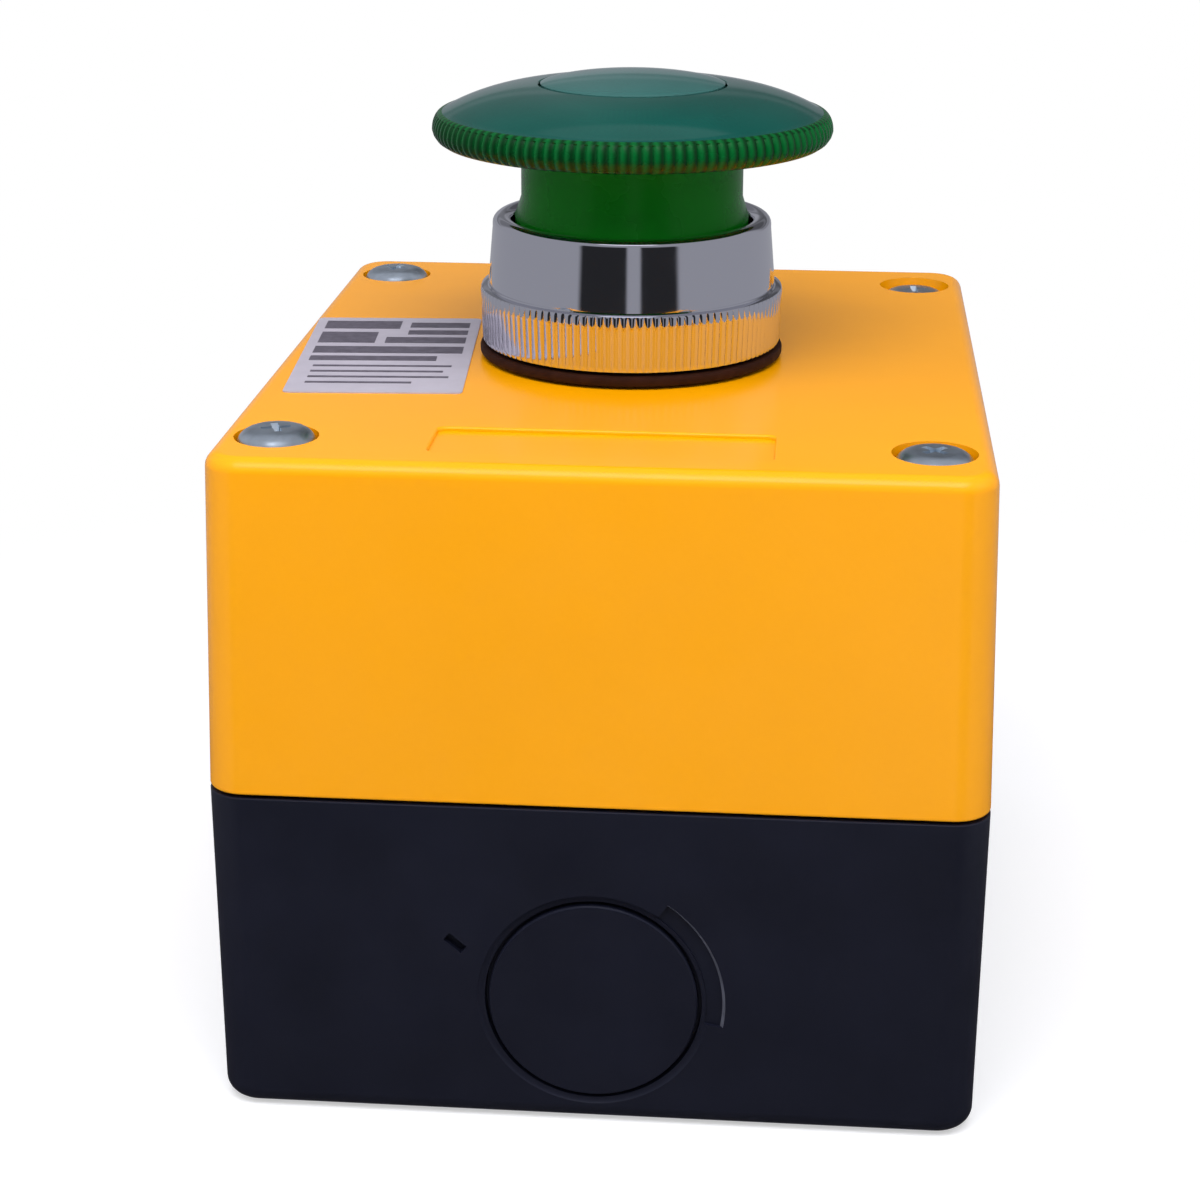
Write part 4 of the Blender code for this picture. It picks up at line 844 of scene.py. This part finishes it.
class StationScrews(bpy.types.Operator):
    """Model the four pan-head cover screws with tapered cross recesses"""
    bl_idname = "station.screws"
    bl_label = "Cover screws"

    def execute(self, context):
        s = setting("screws")
        for number, corner in enumerate(CORNERS):
            low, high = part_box("cover_screw_" + corner)
            seat = high.z - s.head_height
            section = [(0, low.z), (s.shank_radius - s.point, low.z),
                       (s.shank_radius, low.z + s.point), (s.shank_radius, seat),
                       (s.head_radius - 0.1 * s.head_edge, seat),
                       (s.head_radius, seat + 0.1 * s.head_edge)]
            for i in range(10):
                angle = math.pi / 2 * i / 9
                section.append((
                    s.head_flat + (s.head_radius - s.head_flat) * math.cos(angle),
                    seat + s.head_edge + (s.head_height - s.head_edge) * math.sin(angle)))
            section.append((0, high.z))
            screw = turn("pan_screw_" + corner, section, 48)
            for quarter in range(2):
                arm = add_box("arm", (-s.arm, -s.arm_width / 2, high.z - s.recess),
                              (s.arm, s.arm_width / 2, high.z + CLEARANCE))
                edit(arm)
                pick('FACE', lambda face: at_height(face, high.z - s.recess))
                bpy.ops.transform.resize(value=(0.2, 0.35, 1), center_override=(0, 0, 0))
                place_piece(arm, rotation=(0, 0, math.pi / 2 * quarter))
                combine(screw, arm)
            place_piece(screw, (*screw_axis(corner), 0),
                        (0, 0, math.radians(SCREW_TURNS[number])))
            smooth(screw, 30)
            hand_over(screw, zinc_plate, "enclosure", "plated_steel", "cover_screw_" + corner)
        return {'FINISHED'}


SCREW_TURNS = (20, 45, 70, 95)


# The operator's bezel and its gasket

class StationBezel(bpy.types.Operator):
    """Model the chromed bezel with its knurled flange and thick rounded rim"""
    bl_idname = "station.bezel"
    bl_label = "Bezel"

    def execute(self, context):
        s = setting("bezel")
        low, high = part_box("bezel")
        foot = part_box("front_gasket")[1].z + CLEARANCE
        flange_top = foot + s.flange_height
        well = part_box("return_spring")[0].z - CLEARANCE
        r, e = s.rim_round, s.foot_round
        section = [(s.bore, low.z), (s.barrel - r, low.z), (s.barrel, low.z + r),
                   (s.barrel, foot), (s.flange_foot - e, foot),
                   (s.flange_foot - 0.3 * e, foot + 0.3 * e), (s.flange_foot, foot + e),
                   (s.flange_foot, foot + 2 * e), (s.flange_top, flange_top - 4 * e),
                   (s.flange_top, flange_top - e),
                   (s.flange_top - 0.3 * e, flange_top - 0.3 * e),
                   (s.flange_top - e, flange_top), (s.collar_foot + 0.4 * e, flange_top),
                   (s.collar_foot, flange_top + 0.4 * e),
                   (s.collar_foot, flange_top + 2 * e),
                   (s.collar_top, high.z - 1.5 * r)]
        steps = 6
        for i in range(steps + 1):
            angle = math.pi / 2 * i / steps
            section.append((s.collar_top - r * (1 - math.cos(angle)),
                            high.z - r * (1 - math.sin(angle))))
        for i in range(steps + 1):
            angle = math.pi / 2 * i / steps
            section.append((s.pocket + r * (1 - math.sin(angle)),
                            high.z - r * (1 - math.cos(angle))))
        section += [(s.pocket, well), (s.bore, well)]
        columns = 6 * s.teeth
        bezel = turn("bezel_chromed", section, columns)
        for sunk, share in (((0,), 0.6), ((0, 1, 5), 0.4)):
            sink_columns(bezel, columns, 6, sunk, foot + 0.4 * e, flange_top - 0.4 * e,
                         s.flange_foot - e, share * s.tooth_depth)
        smooth(bezel, 28, weighted=False)
        hand_over(bezel, chrome_plate, "enclosure", "chrome_plate", "bezel")

        low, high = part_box("front_gasket")
        bore = s.barrel + CLEARANCE
        soft = 0.0003
        gasket = turn("bezel_gasket", [(bore, low.z), (high.x - soft, low.z),
                                       (high.x - soft * 0.3, low.z + soft * 0.3),
                                       (high.x, low.z + soft), (high.x, high.z - soft),
                                       (high.x - soft * 0.3, high.z - soft * 0.3),
                                       (high.x - soft, high.z), (bore, high.z)], 128)
        smooth(gasket, 40)
        hand_over(gasket, moulded_rubber, "enclosure", "black_rubber", "front_gasket")
        return {'FINISHED'}


# The mushroom head

def crown_height(radius):
    """Height of the head's crown at a radius: flat in the middle, steeper to the rim."""
    s = setting("head")
    shoulder = s.radius - s.edge_round
    rim_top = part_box("bezel")[1].z + s.neck + s.edge_height
    return rim_top + s.crown_rise * (1 - (radius / shoulder) ** s.crown_power)


class StationHead(bpy.types.Operator):
    """Model the translucent mushroom head with its fine ribs, and its raised disc"""
    bl_idname = "station.head"
    bl_label = "Mushroom head"

    def execute(self, context):
        s = setting("head")
        low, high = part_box("lens_cap")
        disc_low, disc_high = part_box("lens_disc")
        collar_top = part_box("bezel")[1].z
        recess = s.disc + s.disc_groove
        recess_floor = disc_low.z - CLEARANCE
        ceiling = recess_floor - s.skin
        shoulder = s.radius - s.edge_round
        rim_top = crown_height(shoulder)
        foot = rim_top - s.edge_height
        middle = foot + s.edge_middle
        brink = 0.5 * s.disc_groove
        section = [(0, recess_floor), (recess, recess_floor),
                   (recess, crown_height(recess) - brink),
                   (recess + brink, crown_height(recess + brink))]
        for i in range(1, 17):
            radius = recess + (shoulder - recess) * i / 16
            section.append((radius, crown_height(radius)))
        for i in range(1, 13):
            angle = math.pi / 2 * i / 12
            section.append((shoulder + s.edge_round * math.sin(angle),
                            middle + (rim_top - middle) * math.cos(angle)))
        under = foot + s.lip * 0.5
        channel = rim_top - s.skin
        half = 0.3 * s.fillet
        section += [(s.radius - 0.3 * s.undercut, (middle + under) / 2),
                    (s.radius - s.undercut, under),
                    (s.radius - 2 * s.undercut, foot + 0.1 * s.lip),
                    (shoulder - CLEARANCE, foot), (shoulder - s.lip, foot + CLEARANCE),
                    (shoulder - s.skin, channel - s.fillet),
                    (shoulder - s.skin - half, channel - half),
                    (shoulder - s.skin - s.fillet, channel), (s.stem + s.fillet, channel),
                    (s.stem + half, channel - half), (s.stem, channel - s.fillet),
                    (s.stem, collar_top + s.skin), (s.stem_foot, collar_top),
                    (s.stem_foot, low.z), (s.stem_bore, low.z), (s.stem_bore, ceiling),
                    (0, ceiling)]
        columns = 6 * s.ribs
        cap = turn("mushroom_lens", section, columns)
        for sunk, share in (((0,), 0.6), ((0, 1, 5), 0.4)):
            sink_columns(cap, columns, 6, sunk, under - CLEARANCE / 3, rim_top - CLEARANCE,
                         s.radius - 1.5 * s.undercut, share * s.rib_depth)
        smooth(cap, 40, weighted=False)
        hand_over(cap, crown_polycarbonate, "button", "green_lens", "lens_cap")
        wear(cap, side_polycarbonate, lambda place: place.z < rim_top)

        edge = disc_low.z + s.disc_edge
        section = [(0, disc_low.z), (s.disc, disc_low.z)]
        for i in range(19):
            angle = math.pi / 2 * i / 18
            section.append((s.disc * math.cos(angle),
                            edge + (disc_high.z - edge) * math.sin(angle) ** 1.5))
        disc = turn("centre_disc", section, 128)
        smooth(disc, 40, weighted=False)
        hand_over(disc, disc_polycarbonate, "button", "green_lens", "lens_disc")
        return {'FINISHED'}


# The bare plate on the cover

class StationPlateSizes(bpy.types.PropertyGroup):
    width: length("Width", "Width of the plate", 0.0174)
    depth: length("Depth", "Depth of the plate", 0.0308)
    thickness: length("Thickness", "Thickness of the foil", 0.00012)
    ink: length("Ink", "How far the printed fields stand on the foil", 0.00003)
    middle_x: length("Middle X", "Place of the plate's middle across the box", -0.0247)
    middle_y: length("Middle Y", "Place of the plate's middle along the box", -0.0034)
    angle: FloatProperty(name="Angle", description="Turn of the plate on the cover",
                         default=0.068, subtype='ANGLE')


class StationPlate(bpy.types.Operator):
    """Model the bare foil plate beside the bezel"""
    bl_idname = "station.plate"
    bl_label = "Plate"

    def execute(self, context):
        s = setting("plate")
        plate = box_outline("rating_plate", (-s.width / 2, -s.depth / 2, 0),
                            (s.width / 2, s.depth / 2, s.thickness), 0.0006)
        place_piece(plate, (s.middle_x, s.middle_y, COVER_FACE + NEAR), (0, 0, s.angle))
        smooth(plate, 30)
        hand_over(plate, plate_foil, "enclosure", "yellow_plastic")
        fields = [add_box("field", (left * s.width, low * s.depth, s.thickness / 2),
                          (right * s.width, high * s.depth, s.thickness + s.ink))
                  for left, right, low, high in PLATE_FIELDS]
        for field in fields:
            field.select_set(True)
        bpy.ops.object.join()
        print_piece = named("plate_fields")
        place_piece(print_piece, (s.middle_x, s.middle_y, COVER_FACE + NEAR), (0, 0, s.angle))
        hand_over(print_piece, grey_ink, "enclosure", "yellow_plastic")
        return {'FINISHED'}


# Plain fields of the bare plate: left, right, low and high, as shares of its width and depth
PLATE_FIELDS = ((-0.44, 0.02, 0.34, 0.45), (0.08, 0.44, 0.36, 0.43), (0.08, 0.44, 0.26, 0.32),
                (-0.44, -0.1, 0.14, 0.29), (-0.04, 0.44, 0.14, 0.22), (-0.44, 0.44, 0.0, 0.09),
                (-0.44, 0.3, -0.1, -0.04), (-0.4, 0.4, -0.18, -0.16), (-0.4, 0.36, -0.25, -0.23),
                (-0.4, 0.4, -0.32, -0.3), (-0.4, 0.2, -0.39, -0.37))


# The inner pieces keep their shapes and get their finishes

class StationInner(bpy.types.Operator):
    """Give the contact blocks, lamp, clamp and springs their finishes"""
    bl_idname = "station.inner"
    bl_label = "Inner pieces"

    def execute(self, context):
        for part in frame["record"]["subparts"]:
            node = frame["nodes"][part["node"]]
            if not node.hide_render:
                wear(node, FINISHES[part["material_slot"]])
        # The coil springs stand on their lower ends and get meshes of their own; the share of
        # each one's length kept at full travel is worked out but not used
        for name, joint in SPRINGS.items():
            low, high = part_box(name)
            keep = 1 - setting("head").travel / (high.z - low.z)
            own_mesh(frame["nodes"][name])
        return {'FINISHED'}


SPRINGS = {"return_spring": "button_press", "no_spring": "no_contact_slide",
           "nc_spring": "nc_contact_slide"}
FINISHES = {"black_rubber": moulded_rubber, "cast_zinc": cast_zinc,
            "plated_steel": spring_steel, "brass": bright_brass, "nickel_plate": nickel_plate,
            "block_plastic": dark_polyester, "block_cover_plastic": grey_polyester,
            "plunger_plastic": plunger_acetal, "lamp_glass": lamp_glass}


# Camera, floor and light

class StationStageSizes(bpy.types.PropertyGroup):
    camera_x: length("Camera X", "Place of the camera", 0.01927)
    camera_y: length("Camera Y", "Place of the camera", -0.25993)
    camera_z: length("Camera Z", "Place of the camera", 0.12978)
    yaw: FloatProperty(name="Yaw", description="Turn of the camera from +Y", default=-0.0860,
                       subtype='ANGLE')
    pitch: FloatProperty(name="Pitch", description="How far the camera looks down",
                         default=0.3107, subtype='ANGLE')
    roll: FloatProperty(name="Roll", description="Roll of the camera", default=0.003,
                        subtype='ANGLE')
    lens: FloatProperty(name="Lens", description="Focal length, in millimetres",
                        default=78.45)
    shift: FloatProperty(name="Shift", description="Upward shift of the lens",
                         default=-0.0667)


def add_camera():
    s = setting("stage")
    ahead = Vector((math.sin(s.yaw) * math.cos(s.pitch), math.cos(s.yaw) * math.cos(s.pitch),
                    -math.sin(s.pitch)))
    right = Vector((math.cos(s.yaw), -math.sin(s.yaw), 0))
    up = right.cross(ahead)
    turn_matrix = Matrix((right, up, -ahead)).transposed()
    roll = Matrix.Rotation(s.roll, 3, 'Z')
    clear_selection()
    bpy.ops.object.camera_add(location=(s.camera_x, s.camera_y, s.camera_z))
    camera = bpy.context.object
    camera.name = "camera"
    camera.rotation_euler = (turn_matrix @ roll).to_euler()
    camera.data.sensor_width = 36
    camera.data.lens = s.lens
    camera.data.shift_y = s.shift
    camera.data.clip_start = 0.01
    bpy.context.scene.camera = camera


def add_softbox(name, place, aim, size, power):
    clear_selection()
    bpy.ops.object.light_add(type='AREA', location=place)
    lamp = bpy.context.object
    lamp.name = name
    lamp.data.shape = 'RECTANGLE'
    lamp.data.size, lamp.data.size_y = size
    lamp.data.energy = power
    # Gloss sees the studio of light_world instead of the lamps
    lamp.visible_camera = False
    lamp.visible_glossy = False
    away = Vector(place) - Vector(aim)
    lamp.rotation_euler = away.to_track_quat('Z', 'Y').to_euler()


def band(tree, value, low, high, soft):
    """1 where a value lies between two limits, fading to 0 over a soft margin outside."""
    rise = add(tree, "MapRange", {"Value": value, "From Min": low - soft, "From Max": low},
               interpolation_type='SMOOTHSTEP')
    fall = add(tree, "MapRange", {"Value": value, "From Min": high, "From Max": high + soft,
                                  "To Min": 1.0, "To Max": 0.0},
               interpolation_type='SMOOTHSTEP')
    return add(tree, "Math", {0: rise.outputs[0], 1: fall.outputs[0]},
               operation='MULTIPLY').outputs[0]


def light_world():
    """A pale room. The camera and clear pieces see plain white, and gloss sees a studio: light
    walls, a bright lamp high in front, two dark screens low before the object with a gap
    between them, and a dim backdrop with paler strips behind it."""
    world = bpy.context.scene.world or bpy.data.worlds.new("studio")
    bpy.context.scene.world = world
    world.use_nodes = True
    # Rays find the world by themselves, so that rough gloss sees the studio too
    world.cycles.sampling_method = 'NONE'
    tree = world.node_tree
    tree.nodes.clear()
    path = add(tree, "LightPath")
    seen = add(tree, "Math", {0: path.outputs["Is Camera Ray"],
                              1: path.outputs["Is Transmission Ray"]}, operation='MAXIMUM')
    place = add(tree, "TexCoord")
    axes = add(tree, "SeparateXYZ", {0: place.outputs["Generated"]})
    x, y, z = axes.outputs
    towards = add(tree, "Math", {0: y, 1: -1.0}, operation='MULTIPLY')
    around = add(tree, "Math", {0: x, 1: towards.outputs[0]}, operation='ARCTAN2').outputs[0]
    screens = band(tree, around, math.radians(-35), math.radians(39), math.radians(5))
    gap = band(tree, around, math.radians(2), math.radians(10), math.radians(3))
    dark = add(tree, "Math", {0: screens, 1: gap}, operation='SUBTRACT')
    dark = add(tree, "Math", {0: dark.outputs[0], 1: band(tree, z, -1.0, 0.25, 0.15)},
               operation='MULTIPLY')
    behind = add(tree, "Math", {0: x, 1: y}, operation='ARCTAN2').outputs[0]
    rear = add(tree, "Math", {0: band(tree, behind, math.radians(-35), math.radians(35),
                                      math.radians(15)),
                              1: band(tree, z, 0.03, 0.75, 0.04)}, operation='MULTIPLY')
    backdrop = add(tree, "MapRange", {"Value": x, "From Min": -0.14, "From Max": 0.0,
                                      "To Min": 0.24, "To Max": 0.12})
    backdrop = add(tree, "Math", {0: band(tree, z, 0.235, 0.28, 0.012), 1: 0.1,
                                  2: backdrop.outputs[0]}, operation='MULTIPLY_ADD')
    backdrop = add(tree, "Math", {0: band(tree, z, 0.03, 0.17, 0.02), 1: 0.2,
                                  2: backdrop.outputs[0]}, operation='MULTIPLY_ADD')
    wall = add(tree, "MapRange", {"Value": rear.outputs[0], "To Min": 0.46,
                                  "To Max": backdrop.outputs[0]})
    wall = add(tree, "MapRange", {"Value": dark.outputs[0], "To Min": wall.outputs[0],
                                  "To Max": 0.03})
    lamp = add(tree, "Math", {0: band(tree, z, 0.75, 0.92, 0.04), 1: 1.2,
                              2: wall.outputs[0]}, operation='MULTIPLY')
    lamp = add(tree, "Math", {0: lamp.outputs[0],
                              1: band(tree, around, math.radians(-25), math.radians(25),
                                      math.radians(10)), 2: wall.outputs[0]},
               operation='MULTIPLY_ADD')
    studio = add(tree, "Background", {"Color": (*linear("#E4E6F0"), 1),
                                      "Strength": lamp.outputs[0]})
    room = add(tree, "Background", {"Color": (*linear("#F2F3FA"), 1), "Strength": 0.45})
    white = add(tree, "Background", {"Color": (1, 1, 1, 1), "Strength": 1.0})
    glossy = add(tree, "MixShader", {0: path.outputs["Is Glossy Ray"], 1: room.outputs[0],
                                     2: studio.outputs[0]})
    mixed = add(tree, "MixShader", {0: seen.outputs[0], 1: glossy.outputs[0],
                                    2: white.outputs[0]})
    add(tree, "OutputWorld", {"Surface": mixed.outputs[0]})


def matt_paper():
    # Matt white paper: takes the soft shadow near the box and melts into the white behind.
    # Gloss sees it dim near the box and not at all further out, as with a small paper sweep
    made, tree, shader = start_material("matt white paper", setting("colours").floor,
                                        {"Roughness": 0.9})
    path = add(tree, "LightPath")
    place = add(tree, "TexCoord")
    away = add(tree, "VectorMath", {0: place.outputs["Object"]}, operation='LENGTH')
    far = add(tree, "MapRange", {"Value": away.outputs["Value"], "From Min": 0.07,
                                 "From Max": 0.17}, interpolation_type='SMOOTHSTEP')
    lift = add(tree, "Emission", {"Color": (1, 1, 1, 1), "Strength": 0.5})
    lit = add(tree, "AddShader", {0: shader.outputs[0], 1: lift.outputs[0]})
    white = add(tree, "Emission", {"Color": (1, 1, 1, 1), "Strength": 1.0})
    to_camera = add(tree, "MixShader", {0: far.outputs[0], 1: lit.outputs[0],
                                        2: white.outputs[0]})
    dim = add(tree, "Emission", {"Color": (*linear("#E6E3F2"), 1), "Strength": 0.1})
    clear = add(tree, "BsdfTransparent")
    to_gloss = add(tree, "MixShader", {0: far.outputs[0], 1: dim.outputs[0],
                                       2: clear.outputs[0]})
    others = add(tree, "MixShader", {0: path.outputs["Is Glossy Ray"], 1: shader.outputs[0],
                                     2: to_gloss.outputs[0]})
    whole = add(tree, "MixShader", {0: path.outputs["Is Camera Ray"], 1: others.outputs[0],
                                    2: to_camera.outputs[0]})
    tree.links.new(whole.outputs[0], tree.nodes["Material Output"].inputs["Surface"])
    return made


class StationStage(bpy.types.Operator):
    """Add the floor, the soft lights, the white surround and the camera"""
    bl_idname = "station.stage"
    bl_label = "Stage"

    def execute(self, context):
        context.scene.view_settings.view_transform = 'Standard'
        clear_selection()
        bpy.ops.mesh.primitive_plane_add(size=4.0, location=(0, 0, -0.0001))
        floor = named("floor")
        apply_place(floor)
        edit(floor)
        bpy.ops.mesh.subdivide(number_cuts=3)
        clear_selection()
        floor.data.materials.append(matt_paper())
        middle = (0, 0, 0.05)
        add_softbox("front", (0, -0.17, 0.33), middle, (0.28, 0.2), 1.06)
        add_softbox("left", (-0.6, -0.2, 0.5), middle, (0.4, 0.4), 0.9)
        add_softbox("right", (0.6, -0.2, 0.5), middle, (0.4, 0.4), 0.9)
        add_softbox("back", (0, 0.6, 0.5), middle, (0.4, 0.4), 0.4)
        light_world()
        add_camera()
        return {'FINISHED'}


STEPS = (StationCover, StationBase, StationScrews, StationBezel, StationHead, StationPlate,
         StationInner, StationStage)


class StationPanel(bpy.types.Panel):
    """The station's steps, in order"""
    bl_idname = "VIEW3D_PT_station"
    bl_label = "Push Button Station"
    bl_space_type = 'VIEW_3D'
    bl_region_type = 'UI'
    bl_category = "Station"

    def draw(self, context):
        for step in STEPS:
            self.layout.operator(step.bl_idname)


GROUPS = {"housing": StationHousingSizes, "knockout": StationKnockoutSizes,
          "screws": StationScrewSizes, "bezel": StationBezelSizes, "head": StationHeadSizes,
          "plate": StationPlateSizes, "stage": StationStageSizes, "colours": StationColours}


def register():
    for made in (*GROUPS.values(), *STEPS, StationPanel):
        bpy.utils.register_class(made)
    for name, group in GROUPS.items():
        setattr(bpy.types.Scene, "station_" + name, PointerProperty(type=group))


def unregister():
    for name in GROUPS:
        delattr(bpy.types.Scene, "station_" + name)
    for made in reversed((*GROUPS.values(), *STEPS, StationPanel)):
        bpy.utils.unregister_class(made)


def main():
    register()
    for step in STEPS:
        group, _, name = step.bl_idname.partition(".")
        getattr(getattr(bpy.ops, group), name)()


if __name__ == "__main__":
    main()
